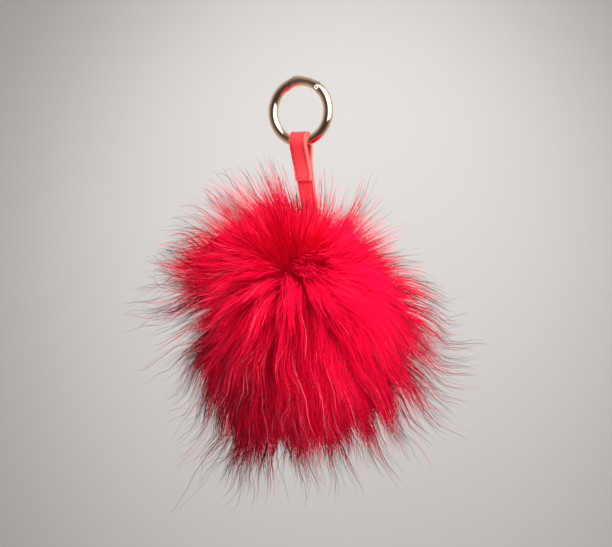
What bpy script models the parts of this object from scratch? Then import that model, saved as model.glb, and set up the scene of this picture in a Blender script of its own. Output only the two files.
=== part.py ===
"""Fur pom pom bag charm: a spring-gate ring, a folded leather strap and a ball of long fur.

Metres, +Z up. The origin is the inside top of the ring, where the charm hangs. The ring lies
in the XZ plane, and its gate swings inwards about a rivet that runs along Y.
"""

import math

import bmesh
import bpy
from mathutils import Matrix, Vector

# --- Ring, gate and rivet -----------------------------------------------------------------
RING_RADIUS = 0.0150
WIRE_RADIUS = 0.0025
WIRE_SIDES = 20
DEGREES_PER_STEP = 5.0
SHARP_ANGLE = 35.0
RING_CENTRE = Vector((0.0, 0.0, WIRE_RADIUS - RING_RADIUS))
CLEARANCE = 0.0003

# Angles run clockwise from the top of the ring, seen from the front (-Y).
RIVET_ANGLE = 40.0
KNUCKLE_ANGLE = 54.0
GATE_TIP_ANGLE = -30.0
GATE_OUTER_TIP_ANGLE = -13.0
GATE_PROUD = 0.0003
GATE_PROUD_FROM_ANGLE = 12.0
BLANK_OVERRUN_ANGLE = 4.0

RIVET_RADIUS = 0.0011
RIVET_LENGTH = 0.0052
RIVET_DIMPLE_RADIUS = 0.0005
RIVET_DIMPLE_DEPTH = 0.0004
RIVET_CHAMFER = 0.00015
RIVET_SIDES = 24

KNUCKLE_RADIUS = 0.0026
SHOULDER_RADIUS = KNUCKLE_RADIUS + CLEARANCE
TONGUE_RADIUS = 0.0024
TONGUE_THICKNESS = 0.0015
SLOT_RADIUS = 0.0029
SLOT_THICKNESS = TONGUE_THICKNESS + 2.0 * CLEARANCE

# Helpers that cut right through the wire, and how many sides their curves have.
THROUGH_WIRE = 4.0 * WIRE_RADIUS
INSIDE_WIRE = RING_RADIUS - 2.0 * WIRE_RADIUS
OUTSIDE_WIRE = RING_RADIUS + 2.0 * WIRE_RADIUS
BORE_SIDES = 32
DISC_SIDES = 48
SWEEP_SIDES = 144

# The latch: a tab on the gate's tip, which the roof of a slot in the ring stops from inside.
LATCH_INNER_RADIUS = 0.0129
LATCH_OUTER_RADIUS = 0.0146
LATCH_THICKNESS = 0.0016
LATCH_TIP_ANGLE = -29.5
LATCH_ROOT_ANGLE = -16.0
LATCH_SLOT_TIP_ANGLE = -37.5
LATCH_SLOT_ROOT_ANGLE = -8.0

# --- Leather strap ------------------------------------------------------------------------
STRAP_WIDTH = 0.0087
STRAP_THICKNESS = 0.0022
STRAP_WIDTH_STEPS = 4
FOLD_STEPS = 12
LEG_STEPS = 8
SEWN_STEPS = 2
WIRE_Z = RING_CENTRE.z - RING_RADIUS
EYE_RADIUS = WIRE_RADIUS + 0.00035
LEG_STRAIGHT_Z = -0.0508
LEGS_MEET_Z = -0.0425
SHORT_LEG_END_Z = -0.0468
SADDLE_FROM_Z = -0.0290
SADDLE_TO_Z = -0.0380

# Where the strap's middle lies to the side of the ring's middle, at each height.
STRAP_LEAN = (
    # z, x
    (-0.0240, 0.0000),
    (-0.0360, 0.0011),
    (-0.0470, 0.0028),
    (-0.0635, 0.0055),
    (-0.0800, 0.0066),
    (-0.0930, 0.0066),
)

# --- Fur ----------------------------------------------------------------------------------
BALL_CENTRE = Vector((0.0066, 0.0, -0.1178))
BALL_RADIUS = 0.0260
BALL_SUBDIVISIONS = 3
BARE_TOP_ANGLE = 23.0
FLAT_ANGLE = 15.0
FRONT_AZIMUTH = 25.5

# The parting that the hair flows away from, as seen from the front.
PARTING_CLOCK = -9.0
PARTING_FORWARD = 0.85
COMBED_ANGLE = 0.72
COMBED_CURL = 1.2
COMBED_LIMIT = 1.3
CROWDED_TO_PARTING = 0.28
CROWDED_TO_TOP = 0.12
UPRIGHT_SPREAD = 38.0
UPRIGHT_SHARE = 0.75
PILE_DEPTH = 0.0450
PILE_REACH = 0.0710
DROOP = 0.0040
RIPPLE = 0.0012
RIPPLE_PITCH = 0.0300
RAGGEDNESS = 0.09
STRAP_HOLLOW = 0.0066
HOLLOW_FROM_Z = -0.0960
HOLLOW_TO_Z = -0.0840

# Locks that reach further or less far than the rest. Clock is the direction seen from the
# front, in degrees clockwise from the top, and forward is how far it points at the viewer.
TUFTS = (
    # clock, forward, spread in degrees, further reach
    (292.0, 0.05, 22.0, 0.0150),
    (338.0, 0.00, 24.0, 0.0080),
    (45.0, 0.00, 30.0, -0.0040),
    (112.0, 0.00, 26.0, 0.0030),
    (180.0, 0.00, 22.0, -0.0040),
    (206.0, 0.10, 20.0, 0.0050),
    (252.0, 0.10, 16.0, -0.0110),
    (0.0, 0.95, 40.0, -0.0040),
)

# How wide each lock is, as a share of its room on the ball. All locks keep step with their
# neighbours up to the last of these depths, and then each narrows to a point of its own.
LOCK_LEVELS = (
    # depth, share of width
    (0.0000, 0.88),
    (0.0095, 0.90),
    (0.0195, 0.76),
    (0.0300, 0.50),
)
POINT_SHARE = 0.50
POINT_WIDTH = 0.24


def clear_scene():
    """Remove every object that the scene starts with."""
    for item in list(bpy.data.objects):
        bpy.data.objects.remove(item, do_unlink=True)


def new_material(name, colour, roughness, metallic):
    """A Principled material of one colour."""
    material = bpy.data.materials.new(name)
    material.use_nodes = True
    shader = material.node_tree.nodes["Principled BSDF"]
    shader.inputs["Base Color"].default_value = (*colour, 1.0)
    shader.inputs["Roughness"].default_value = roughness
    shader.inputs["Metallic"].default_value = metallic
    return material


def new_object(name, mesh_builder, material=None):
    """Turn a finished bmesh into an object, shaded smooth across its round faces."""
    mesh = bpy.data.meshes.new(name)
    mesh_builder.to_mesh(mesh)
    mesh_builder.free()
    mesh.shade_smooth()
    mesh.set_sharp_from_angle(angle=math.radians(SHARP_ANGLE))
    made = bpy.data.objects.new(name, mesh)
    bpy.context.scene.collection.objects.link(made)
    if material:
        mesh.materials.append(material)
    return made


def as_cutter(made):
    """Keep an object as a helper that shapes another one and isn't part of the charm."""
    made.hide_render = True
    made.display_type = "WIRE"
    return made


def shape_with(target, cutter, operation):
    """Add an exact Boolean of one helper to an object."""
    modifier = target.modifiers.new(f"{operation.title()} {cutter.name}", "BOOLEAN")
    modifier.operation = operation
    modifier.solver = "EXACT"
    modifier.object = as_cutter(cutter)


def smooth(value, start, end):
    """Rise from 0 at start to 1 at end, level at both."""
    share = min(max((value - start) / (end - start), 0.0), 1.0)
    return share * share * (3.0 - 2.0 * share)


def on_ring(angle, radius=RING_RADIUS):
    """The point at one angle round the ring, in its middle plane."""
    turn = math.radians(angle)
    return RING_CENTRE + Vector((radius * math.sin(turn), 0.0, radius * math.cos(turn)))


def spun_section(section, start, end):
    """Sweep a closed section round the ring, and cap both ends.

    The section is a loop of (radius, y) points, which the sweep carries from one angle to
    the other.
    """
    builder = bmesh.new()
    corners = []
    for radius, y in section:
        corners.append(builder.verts.new(on_ring(start, radius) + Vector((0.0, y, 0.0))))
    for here, following in zip(corners, corners[1:] + corners[:1]):
        builder.edges.new((here, following))
    bmesh.ops.spin(
        builder,
        geom=builder.edges[:],
        cent=RING_CENTRE,
        axis=(0.0, 1.0, 0.0),
        angle=math.radians(end - start),
        steps=max(1, round((end - start) / DEGREES_PER_STEP)),
    )
    bmesh.ops.holes_fill(builder, edges=builder.edges[:], sides=0)
    bmesh.ops.recalc_face_normals(builder, faces=builder.faces[:])
    return builder


def wire_section():
    """The round section of the ring's wire, as (radius, y) points."""
    turns = [2.0 * math.pi * side / WIRE_SIDES for side in range(WIRE_SIDES)]
    return [
        (RING_RADIUS + WIRE_RADIUS * math.cos(turn), WIRE_RADIUS * math.sin(turn)) for turn in turns
    ]


def sector(name, inner, outer, thickness, start, end):
    """A flat piece of a disc about the ring's centre, between two radii and two angles."""
    half = thickness / 2.0
    section = [(inner, -half), (outer, -half), (outer, half), (inner, half)]
    return new_object(name, spun_section(section, start, end))


def disc_about_rivet(name, radius, thickness, offset=0.0, sides=DISC_SIDES):
    """A round slab on the rivet's axis, its middle moved along Y by the offset."""
    builder = bmesh.new()
    place = Matrix.Translation(on_ring(RIVET_ANGLE) + Vector((0.0, offset, 0.0)))
    bmesh.ops.create_cone(
        builder,
        cap_ends=True,
        segments=sides,
        radius1=radius,
        radius2=radius,
        depth=thickness,
        matrix=place @ Matrix.Rotation(math.radians(90.0), 4, "X"),
    )
    return new_object(name, builder)


def gate_sweep():
    """The distance from the rivet to the gate's outer tip corner."""
    return (on_ring(GATE_OUTER_TIP_ANGLE, RING_RADIUS + WIRE_RADIUS) - on_ring(RIVET_ANGLE)).length


def make_ring_body(metal):
    """The ring's fixed part: most of the hoop, with a hinge tongue and a latch slot."""
    arc_end = 360.0 + GATE_OUTER_TIP_ANGLE + BLANK_OVERRUN_ANGLE
    body = new_object("ring_body", spun_section(wire_section(), RIVET_ANGLE, arc_end), metal)

    blank = disc_about_rivet("hinge_tongue", TONGUE_RADIUS, 2.0 * TONGUE_THICKNESS)
    shape_with(body, blank, "UNION")
    cheek = (2.0 * WIRE_RADIUS - TONGUE_THICKNESS) / 2.0 + CLEARANCE
    cheek_offset = TONGUE_THICKNESS / 2.0 + cheek / 2.0
    for side, offset in (("front", -cheek_offset), ("back", cheek_offset)):
        relief = disc_about_rivet(f"{side}_cheek_relief", SHOULDER_RADIUS, cheek, offset)
        shape_with(body, relief, "DIFFERENCE")
    bore = disc_about_rivet("tongue_bore", RIVET_RADIUS + CLEARANCE, THROUGH_WIRE, sides=BORE_SIDES)
    shape_with(body, bore, "DIFFERENCE")

    near_gate = sector("gate_side", INSIDE_WIRE, OUTSIDE_WIRE, THROUGH_WIRE, GATE_TIP_ANGLE, 0.0)
    sweep = disc_about_rivet("gate_sweep", gate_sweep() + CLEARANCE, THROUGH_WIRE, sides=SWEEP_SIDES)
    shape_with(near_gate, sweep, "INTERSECT")
    shape_with(body, near_gate, "DIFFERENCE")

    slot = sector(
        "latch_slot",
        INSIDE_WIRE,
        LATCH_OUTER_RADIUS + CLEARANCE,
        LATCH_THICKNESS + 2.0 * CLEARANCE,
        LATCH_SLOT_TIP_ANGLE,
        LATCH_SLOT_ROOT_ANGLE,
    )
    shape_with(body, slot, "DIFFERENCE")
    return body


def make_gate(metal):
    """The sprung gate: a short arc of the wire, forked round the tongue at the rivet."""
    builder = spun_section(wire_section(), GATE_TIP_ANGLE, RIVET_ANGLE)
    for vert in builder.verts:
        outward = vert.co - RING_CENTRE
        angle = math.degrees(math.atan2(outward.x, outward.z))
        rise = GATE_PROUD * smooth(angle, GATE_PROUD_FROM_ANGLE, GATE_OUTER_TIP_ANGLE)
        vert.co += Vector((outward.x, 0.0, outward.z)).normalized() * rise
    gate = new_object("gate", builder, metal)

    knuckle = new_object("gate_knuckle", spun_section(wire_section(), RIVET_ANGLE - 1.0, KNUCKLE_ANGLE))
    knuckle_disc = disc_about_rivet("knuckle_disc", KNUCKLE_RADIUS, THROUGH_WIRE)
    shape_with(knuckle, knuckle_disc, "INTERSECT")
    shape_with(gate, knuckle, "UNION")

    sweep = disc_about_rivet("gate_reach", gate_sweep(), THROUGH_WIRE, sides=SWEEP_SIDES)
    shape_with(gate, sweep, "INTERSECT")
    tab = sector(
        "latch_tab",
        LATCH_INNER_RADIUS,
        LATCH_OUTER_RADIUS,
        LATCH_THICKNESS,
        LATCH_TIP_ANGLE,
        LATCH_ROOT_ANGLE,
    )
    shape_with(gate, tab, "UNION")

    slot = disc_about_rivet("fork_slot", SLOT_RADIUS, SLOT_THICKNESS)
    shape_with(gate, slot, "DIFFERENCE")
    bore = disc_about_rivet("gate_bore", RIVET_RADIUS + CLEARANCE, THROUGH_WIRE, sides=BORE_SIDES)
    shape_with(gate, bore, "DIFFERENCE")
    return gate


def make_rivet(metal):
    """The rivet that the gate turns on, with a dimple in each end."""
    half = RIVET_LENGTH / 2.0
    profile = (
        (0.0, half - RIVET_DIMPLE_DEPTH),
        (RIVET_DIMPLE_RADIUS, half),
        (RIVET_RADIUS - RIVET_CHAMFER, half),
        (RIVET_RADIUS, half - RIVET_CHAMFER),
        (RIVET_RADIUS, RIVET_CHAMFER - half),
        (RIVET_RADIUS - RIVET_CHAMFER, -half),
        (RIVET_DIMPLE_RADIUS, -half),
        (0.0, RIVET_DIMPLE_DEPTH - half),
    )
    builder = bmesh.new()
    points = [builder.verts.new((radius, y, 0.0)) for radius, y in profile]
    for here, following in zip(points, points[1:]):
        builder.edges.new((here, following))
    bmesh.ops.spin(
        builder,
        geom=builder.edges[:],
        cent=(0.0, 0.0, 0.0),
        axis=(0.0, 1.0, 0.0),
        angle=2.0 * math.pi,
        steps=RIVET_SIDES,
        use_merge=True,
    )
    bmesh.ops.remove_doubles(builder, verts=builder.verts[:], dist=1e-7)
    bmesh.ops.recalc_face_normals(builder, faces=builder.faces[:])
    rivet = new_object("gate_rivet", builder, metal)
    rivet.location = on_ring(RIVET_ANGLE)
    return rivet


def between(table, value):
    """Read a falling table of (place, amount) rows at one place, smoothly."""
    if value >= table[0][0]:
        return table[0][1]
    rows = list(zip(table, table[1:]))
    for number, ((high, above), (low, below)) in enumerate(rows):
        if value >= low:
            before = table[number - 1] if number else table[0]
            after = table[number + 2] if number + 2 < len(table) else table[-1]
            share = (high - value) / (high - low)
            span = high - low
            slope_in = (below - before[1]) / max(before[0] - low, span) * span
            slope_out = (after[1] - above) / max(high - after[0], span) * span
            return (
                above * (1.0 + 2.0 * share) * (1.0 - share) ** 2
                + below * (3.0 - 2.0 * share) * share**2
                + slope_in * share * (1.0 - share) ** 2
                - slope_out * share**2 * (1.0 - share)
            )
    return table[-1][1]


def steps_between(start, end, count):
    """Evenly spaced values from start to end, both included."""
    return [start + (end - start) * step / count for step in range(count + 1)]


def strap_back_y(z):
    """The middle of the strap's long layer, front to back, at one height."""
    return (EYE_RADIUS + STRAP_THICKNESS / 2.0) * (1.0 - smooth(z, WIRE_Z, LEG_STRAIGHT_Z))


def strap_front_inner_y(z):
    """The inner face of the strap's short leg, which closes on the long layer."""
    closed = strap_back_y(z) - STRAP_THICKNESS / 2.0
    share = smooth(z, WIRE_Z, LEGS_MEET_Z)
    return -EYE_RADIUS * (1.0 - share) + closed * share


def strap_end_z():
    """The strap's lower end, just above the flat on top of the ball."""
    ring_of_flat = BALL_RADIUS * math.cos(math.radians(FLAT_ANGLE))
    return BALL_CENTRE.z + ring_of_flat + CLEARANCE


def strap_outline():
    """The strap seen from its edge: its outer outline, and the eye that the ring fills."""
    half = STRAP_THICKNESS / 2.0
    loop_heights = steps_between(WIRE_Z, LEGS_MEET_Z, LEG_STEPS)
    sewn_heights = steps_between(LEGS_MEET_Z, SHORT_LEG_END_Z, SEWN_STEPS)[1:]
    hanging_heights = steps_between(SHORT_LEG_END_Z, strap_end_z(), LEG_STEPS)[1:]
    turns = steps_between(0.0, math.pi, FOLD_STEPS)[1:-1]
    fold = EYE_RADIUS + STRAP_THICKNESS

    back = [(strap_back_y(z) + half, z) for z in loop_heights + sewn_heights + hanging_heights]
    front = [
        (strap_front_inner_y(z) - STRAP_THICKNESS, z) for z in loop_heights + sewn_heights
    ]
    below = [(strap_back_y(z) - half, z) for z in [SHORT_LEG_END_Z] + hanging_heights]
    over = [(fold * math.cos(turn), WIRE_Z + fold * math.sin(turn)) for turn in turns]
    outer = back[::-1] + over + front + below

    eye_back = [(strap_back_y(z) - half, z) for z in loop_heights]
    eye_front = [(strap_front_inner_y(z), z) for z in loop_heights[:-1]]
    eye_over = [
        (EYE_RADIUS * math.cos(turn), WIRE_Z + EYE_RADIUS * math.sin(turn)) for turn in turns
    ]
    eye = eye_back[::-1] + eye_over + eye_front
    return outer, eye


def make_strap(leather):
    """One leather strip, folded over the ring's wire and sewn back onto itself."""
    builder = bmesh.new()
    for outline in strap_outline():
        corners = [builder.verts.new((-STRAP_WIDTH / 2.0, y, z)) for y, z in outline]
        for here, following in zip(corners, corners[1:] + corners[:1]):
            builder.edges.new((here, following))
    bmesh.ops.triangle_fill(builder, use_beauty=True, edges=builder.edges[:])
    layer = builder.faces[:]
    for step in range(STRAP_WIDTH_STEPS):
        grown = bmesh.ops.extrude_face_region(builder, geom=layer)
        if step:
            bmesh.ops.delete(builder, geom=layer, context="FACES")
        moved = [item for item in grown["geom"] if isinstance(item, bmesh.types.BMVert)]
        layer = [item for item in grown["geom"] if isinstance(item, bmesh.types.BMFace)]
        bmesh.ops.translate(builder, verts=moved, vec=(STRAP_WIDTH / STRAP_WIDTH_STEPS, 0.0, 0.0))
    bmesh.ops.recalc_face_normals(builder, faces=builder.faces[:])
    for vert in builder.verts:
        saddle = vert.co.x**2 / (2.0 * RING_RADIUS)
        rise = saddle * (1.0 - smooth(vert.co.z, SADDLE_FROM_Z, SADDLE_TO_Z))
        vert.co.x += between(STRAP_LEAN, vert.co.z)
        vert.co.z += rise
    return new_object("strap", builder, leather)


def seen_from_front(clock, forward):
    """A direction given as the viewer in front sees it."""
    turn = math.radians(clock)
    azimuth = math.radians(FRONT_AZIMUTH)
    right = Vector((math.cos(azimuth), math.sin(azimuth), 0.0))
    toward = Vector((math.sin(azimuth), -math.cos(azimuth), 0.0))
    flat = right * math.sin(turn) + Vector((0.0, 0.0, math.cos(turn)))
    return (flat * math.sqrt(1.0 - forward**2) + toward * forward).normalized()


def combed(direction, share):
    """Lean a direction away from the parting, more so further out along the pile."""
    parting = seen_from_front(PARTING_CLOCK, PARTING_FORWARD)
    angle = parting.angle(direction, 0.0)
    axis = parting.cross(direction)
    if axis.length < 1e-9:
        return direction.copy()
    from_top = math.degrees(direction.angle(Vector((0.0, 0.0, 1.0)), 0.0))
    upright = UPRIGHT_SHARE * math.exp(-((from_top / UPRIGHT_SPREAD) ** 2))
    lean = COMBED_ANGLE * (1.0 - upright) * min(share, COMBED_LIMIT) ** COMBED_CURL * math.sin(angle)
    return Matrix.Rotation(lean, 3, axis) @ direction


def tip_reach(direction):
    """How far from the ball's centre a lock with this root direction ends."""
    tip = combed(direction, 1.0)
    reach = PILE_REACH
    for clock, forward, spread, further in TUFTS:
        apart = math.degrees(tip.angle(seen_from_front(clock, forward)))
        reach += further * math.exp(-((apart / spread) ** 2))
    ragged = math.sin(91.7 * direction.x + 57.3 * direction.y + 33.1 * direction.z + 1.3)
    return reach * (1.0 + RAGGEDNESS * ragged)


def flowed(rest):
    """Carry a point of the straight, even pile to where the combed, hanging hair has it.

    The point is given from the ball's centre. Nothing moves at the ball's surface, and
    neighbours keep their order, so locks that stand apart stay apart.
    """
    out = rest.length
    share = max(out - BALL_RADIUS, 0.0) / PILE_DEPTH
    place = BALL_CENTRE + combed(rest.normalized(), share) * out
    phase = 2.0 * math.pi / RIPPLE_PITCH
    wave = Vector((
        math.sin(phase * place.y + 0.7) + math.sin(phase * 0.6 * place.z + 2.1),
        math.sin(phase * place.z + 1.9) + math.sin(phase * 0.7 * place.x + 0.4),
        math.sin(phase * place.x + 3.2) + math.sin(phase * 0.5 * place.y + 1.1),
    ))
    place += wave * RIPPLE * min(share, 1.0)
    place.z -= DROOP * share**2
    return beside_strap(place)


def beside_strap(place):
    """Push a point away from the strap's middle line, above the ball."""
    hollow = STRAP_HOLLOW * smooth(place.z, HOLLOW_FROM_Z, HOLLOW_TO_Z)
    aside = Vector((place.x - between(STRAP_LEAN, place.z), place.y, 0.0))
    if hollow == 0.0 or aside.length < 1e-6:
        return place
    grown = math.sqrt(aside.length**2 + hollow**2)
    return place + aside.normalized() * (grown - aside.length)


def make_fur_pom(fur):
    """The gathered ball and its locks of hair: each face of the ball but the top grows one."""
    builder = bmesh.new()
    bmesh.ops.create_icosphere(builder, subdivisions=BALL_SUBDIVISIONS, radius=BALL_RADIUS)
    flat = BALL_RADIUS * math.cos(math.radians(FLAT_ANGLE))
    crowd = seen_from_front(PARTING_CLOCK, PARTING_FORWARD) * CROWDED_TO_PARTING
    crowd.z += CROWDED_TO_TOP
    for vert in builder.verts:
        vert.co = (vert.co.normalized() + crowd).normalized() * BALL_RADIUS
        vert.co.z = min(vert.co.z, flat)

    bare_top = math.cos(math.radians(BARE_TOP_ANGLE))
    ends = [face for face in builder.faces if face.calc_center_median().normalized().z < bare_top]
    for number, (depth, width) in enumerate((*LOCK_LEVELS, (LOCK_LEVELS[-1][0], POINT_WIDTH))):
        narrower = width / LOCK_LEVELS[number - 1][1] if number else width
        ends = bmesh.ops.extrude_discrete_faces(builder, faces=ends)["faces"]
        for face in ends:
            middle = face.calc_center_median().normalized()
            out = BALL_RADIUS + depth
            if number == len(LOCK_LEVELS):
                out += (tip_reach(middle) - out) * POINT_SHARE
            for vert in face.verts:
                corner = middle + (vert.co.normalized() - middle) * narrower
                vert.co = corner.normalized() * out if number else corner * vert.co.length
    tips = bmesh.ops.poke(builder, faces=ends)["verts"]
    for tip in tips:
        middle = tip.co.normalized()
        tip.co = middle * tip_reach(middle)
    for vert in builder.verts:
        vert.co = flowed(vert.co)
    return new_object("fur_pom", builder, fur)


def build():
    """Make every piece of the charm."""
    clear_scene()
    metal = new_material("pale_gold", (0.80, 0.66, 0.45), 0.18, 1.0)
    leather = new_material("red_leather", (0.86, 0.06, 0.07), 0.50, 0.0)
    fur = new_material("red_fur", (0.62, 0.01, 0.03), 0.70, 0.0)
    make_ring_body(metal)
    make_gate(metal)
    make_rivet(metal)
    make_strap(leather)
    make_fur_pom(fur)


build()
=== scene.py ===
"""Looks of the fur pom pom bag charm: a polished spring-gate ring, a stitched leather strap and
a ball of long dyed fur. Metres, +Z up, with the origin at the inside top of the ring."""

import math
from collections import namedtuple

import bmesh
import bpy
import numpy as np
from bpy.props import FloatProperty, FloatVectorProperty, IntProperty, PointerProperty
from mathutils import Matrix, Vector
from mathutils.kdtree import KDTree


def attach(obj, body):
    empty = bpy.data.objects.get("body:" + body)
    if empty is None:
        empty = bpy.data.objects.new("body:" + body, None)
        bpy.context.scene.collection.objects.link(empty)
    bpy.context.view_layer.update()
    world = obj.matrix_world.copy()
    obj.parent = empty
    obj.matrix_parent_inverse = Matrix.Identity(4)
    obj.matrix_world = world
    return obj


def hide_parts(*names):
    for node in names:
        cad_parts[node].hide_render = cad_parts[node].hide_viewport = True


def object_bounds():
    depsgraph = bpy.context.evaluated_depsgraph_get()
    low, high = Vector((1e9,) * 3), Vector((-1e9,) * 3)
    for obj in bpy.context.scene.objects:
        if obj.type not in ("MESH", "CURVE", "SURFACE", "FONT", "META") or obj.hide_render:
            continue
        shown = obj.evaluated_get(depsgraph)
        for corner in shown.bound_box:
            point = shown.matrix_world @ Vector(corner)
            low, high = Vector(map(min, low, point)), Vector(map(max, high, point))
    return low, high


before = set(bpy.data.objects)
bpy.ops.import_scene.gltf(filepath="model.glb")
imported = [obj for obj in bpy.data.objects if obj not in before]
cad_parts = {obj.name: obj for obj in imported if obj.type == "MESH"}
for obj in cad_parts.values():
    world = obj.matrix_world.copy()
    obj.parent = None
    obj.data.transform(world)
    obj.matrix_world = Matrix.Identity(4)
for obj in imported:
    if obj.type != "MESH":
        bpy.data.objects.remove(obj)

bl_info = {
    "name": "Fur Pom Pom Bag Charm",
    "version": (1, 0, 0),
    "blender": (4, 5, 0),
    "location": "View3D > Sidebar > Charm",
    "description": "Long fur pom pom on a stitched leather strap and a spring-gate ring",
    "category": "Add Mesh",
}

CAD_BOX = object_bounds()

# --- Shared frame -------------------------------------------------------------------------
RING_RADIUS = 0.0150
WIRE_RADIUS = 0.0025
RING_CENTRE = Vector((0.0, 0.0, WIRE_RADIUS - RING_RADIUS))
WIRE_Z = RING_CENTRE.z - RING_RADIUS
FRONT_AZIMUTH = 25.5

SEAM = 0.0002
TIP_SEAM = 0.0004
RIVET_PLAY = 0.0001

# --- Ring, gate and rivet: angles run clockwise from the top, seen from the front ----------
RIVET_ANGLE = 40.0
KNUCKLE_ANGLE = 54.0
GATE_TIP_ANGLE = -30.0
GATE_OUTER_TIP_ANGLE = -13.0
GATE_PROUD = 0.0006
GATE_PROUD_ANGLES = (6.0, -9.0)
GATE_SUNK = 0.00025
GATE_SUNK_ANGLES = (3.0, 12.0)
GATE_LEVEL_ANGLES = (26.0, 35.0)
BLANK_OVERRUN_ANGLE = 4.0
RIVET_RADIUS = 0.0011
RIVET_LENGTH = 0.0052
KNUCKLE_RADIUS = 0.0026
TONGUE_RADIUS = 0.0024
TONGUE_THICKNESS = 0.0015
FORK_RADIUS = 0.0029
LATCH_RADII = (0.0129, 0.0146)
LATCH_THICKNESS = 0.0016
LATCH_ANGLES = (-29.5, -16.0)
LATCH_SLOT_ANGLES = (-37.5, -8.0)

# Helpers that cut right through the wire.
THROUGH_WIRE = 4.0 * WIRE_RADIUS
SLAB_SIDES = 96
WIDE_SLAB_SIDES = 288
INSIDE_WIRE = RING_RADIUS - 2.0 * WIRE_RADIUS
OUTSIDE_WIRE = RING_RADIUS + 2.0 * WIRE_RADIUS

# --- Strap --------------------------------------------------------------------------------
STRAP_THICKNESS = 0.0022
EYE_RADIUS = WIRE_RADIUS + 0.00035
LEG_STRAIGHT_Z = -0.0508
LEGS_MEET_Z = -0.0425
SHORT_LEG_END_Z = -0.0468
STRAP_END_Z = -0.0924
SADDLE_FROM_Z = -0.0290
SADDLE_TO_Z = -0.0380
SADDLE_SHARE = 0.3

# Where the strap's middle lies to the side of the ring's middle, at each height.
STRAP_LEAN = (
    # z, x
    (-0.0240, 0.0000),
    (-0.0360, 0.0006),
    (-0.0470, 0.0028),
    (-0.0635, 0.0055),
    (-0.0800, 0.0066),
    (-0.0930, 0.0066),
)

# --- How the fur grows and falls ----------------------------------------------------------
BALL_CENTRE = Vector((0.0066, 0.0, -0.1178))
BARE_TOP_ANGLE = 13.0
PARTING_CLOCK = -33.0
PARTING_FORWARD = 0.60
COMBED_ANGLE = 0.44
COMBED_CURL = 1.2
COMBED_LIMIT = 0.95
SAGGING_ANGLE = 0.14
CROWDED_TO_PARTING = 0.16
CROWDED_TO_TOP = 0.22
WHORL_SPREAD = 26.0
WHORL_CROWDING = 0.36
UPRIGHT_SPREAD = 34.0
UPRIGHT_SHARE = 0.95
PILE_DEPTH = 0.0450
DROOP = 0.0040
RIPPLE = 0.0012
RIPPLE_PITCH = 0.0300
# The waves that move points in x, in y and in z, each with the axis it reads, pace and phase.
RIPPLE_WAVES = (
    ((1, 1.0, 0.7), (2, 0.6, 2.1)),
    ((2, 1.0, 1.9), (0, 0.7, 0.4)),
    ((0, 1.0, 3.2), (1, 0.5, 1.1)),
)
STRAP_HOLLOW = 0.0066
HOLLOW_FROM_Z = -0.0960
HOLLOW_TO_Z = -0.0840

# Each table below changes an amount round one direction of the tips. Clock is the direction
# seen from the front, in degrees clockwise from the top, and forward is how far it points at
# the viewer, from -1 behind the ball to 1 before it. Each row says the clock, the forward, how
# far the change spreads in degrees, and the change.

# How far the dense pile reaches from the ball's centre, more or less than the rest.
DENSE = (
    (312, 0.25, 24, 0.0105),
    (306, 0.00, 18, 0.0215),
    (338, 0.00, 27, 0.0125),
    (28, 0.00, 22, -0.0050),
    (208, 0.00, 24, 0.0095),
    (266, 0.00, 11, -0.0200),
    (78, 0.00, 40, -0.0180),
    (132, 0.00, 30, -0.0070),
    (240, 0.00, 14, 0.0030),
    (-9, 0.85, 16, 0.0030),
)
# How far the longest hairs stand out of the dense pile.
STRAY = (
    (118, 0.00, 44, 0.0310),
    (15, 0.00, 17, 0.0150),
    (180, 0.00, 28, 0.0100),
    (238, 0.00, 12, 0.0040),
    (304, 0.00, 22, 0.0360),
    (326, 0.00, 18, 0.0090),
    (45, 0.00, 25, -0.0010),
    (344, 0.00, 22, 0.0210),
)
# How much further than the rest the tips hang down.
HANGING = (
    (306, 0.00, 28, 0.0065),
    (232, 0.00, 26, 0.0030),
    (180, 0.00, 45, -0.0035),
    (100, 0.00, 40, -0.0080),
)
# How much more than the rest the pile sags under its own weight, in radians.
SAGGING = (
    (238, 0.10, 30, 0.22),
    (-9, 0.80, 40, 0.64),
    (95, 0.00, 45, -0.06),
)
# How strongly hair gathers into locks, with valleys between them.
GATHERED = (
    (215, 0.45, 50, 0.45),
    (185, 0.55, 35, 0.25),
    (300, 0.10, 32, 0.15),
    (180, 0.00, 30, 0.25),
    (80, 0.30, 55, -0.42),
    (350, 0.50, 32, -0.35),
    (148, 0.10, 16, -0.30),
)
# How much more than the rest single hairs stray from their lock and cross their neighbours.
TANGLED = (
    (228, 0.50, 34, 1.30),
    (275, 0.55, 24, 0.70),
    (180, 0.60, 28, 0.60),
)
# The share of hairs with darker dyes: real dark hair on the lower left, and painted shade at the whorl
# and in the crease below it.
SHADED = (
    (232, 0.45, 26, 0.60),
    (195, 0.45, 20, 0.17),
    (262, 0.10, 22, 0.35),
    (70, 0.35, 45, -0.12),
    (-14, 0.77, 8, 0.60),
    (4, 0.86, 7, 0.45),
    (0, 0.97, 9, 0.25),
)
# Painted light and shade: how much darker than the rest the hair is dyed, lighter at the top and the
# right, darker in the middle of the front.
PAINTED_LIGHT_AND_SHADE = (
    (-5, 0.40, 30, -0.60),
    (75, 0.30, 45, -0.15),
    (180, 0.95, 26, 1.00),
    (200, 0.75, 24, 0.25),
    (255, 0.85, 22, 0.12),
    (140, 0.45, 28, -0.35),
    (182, 0.20, 22, -0.40),
)
# The share of hairs with painted highlights: a pale dye on streaks of hair where light catches the
# locks.
PAINTED_HIGHLIGHTS = (
    (222, 0.45, 32, 0.19),
    (195, 0.35, 30, 0.06),
    (290, 0.30, 30, 0.06),
    (140, 0.45, 30, 0.02),
    (328, 0.15, 26, 0.12),
)
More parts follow.
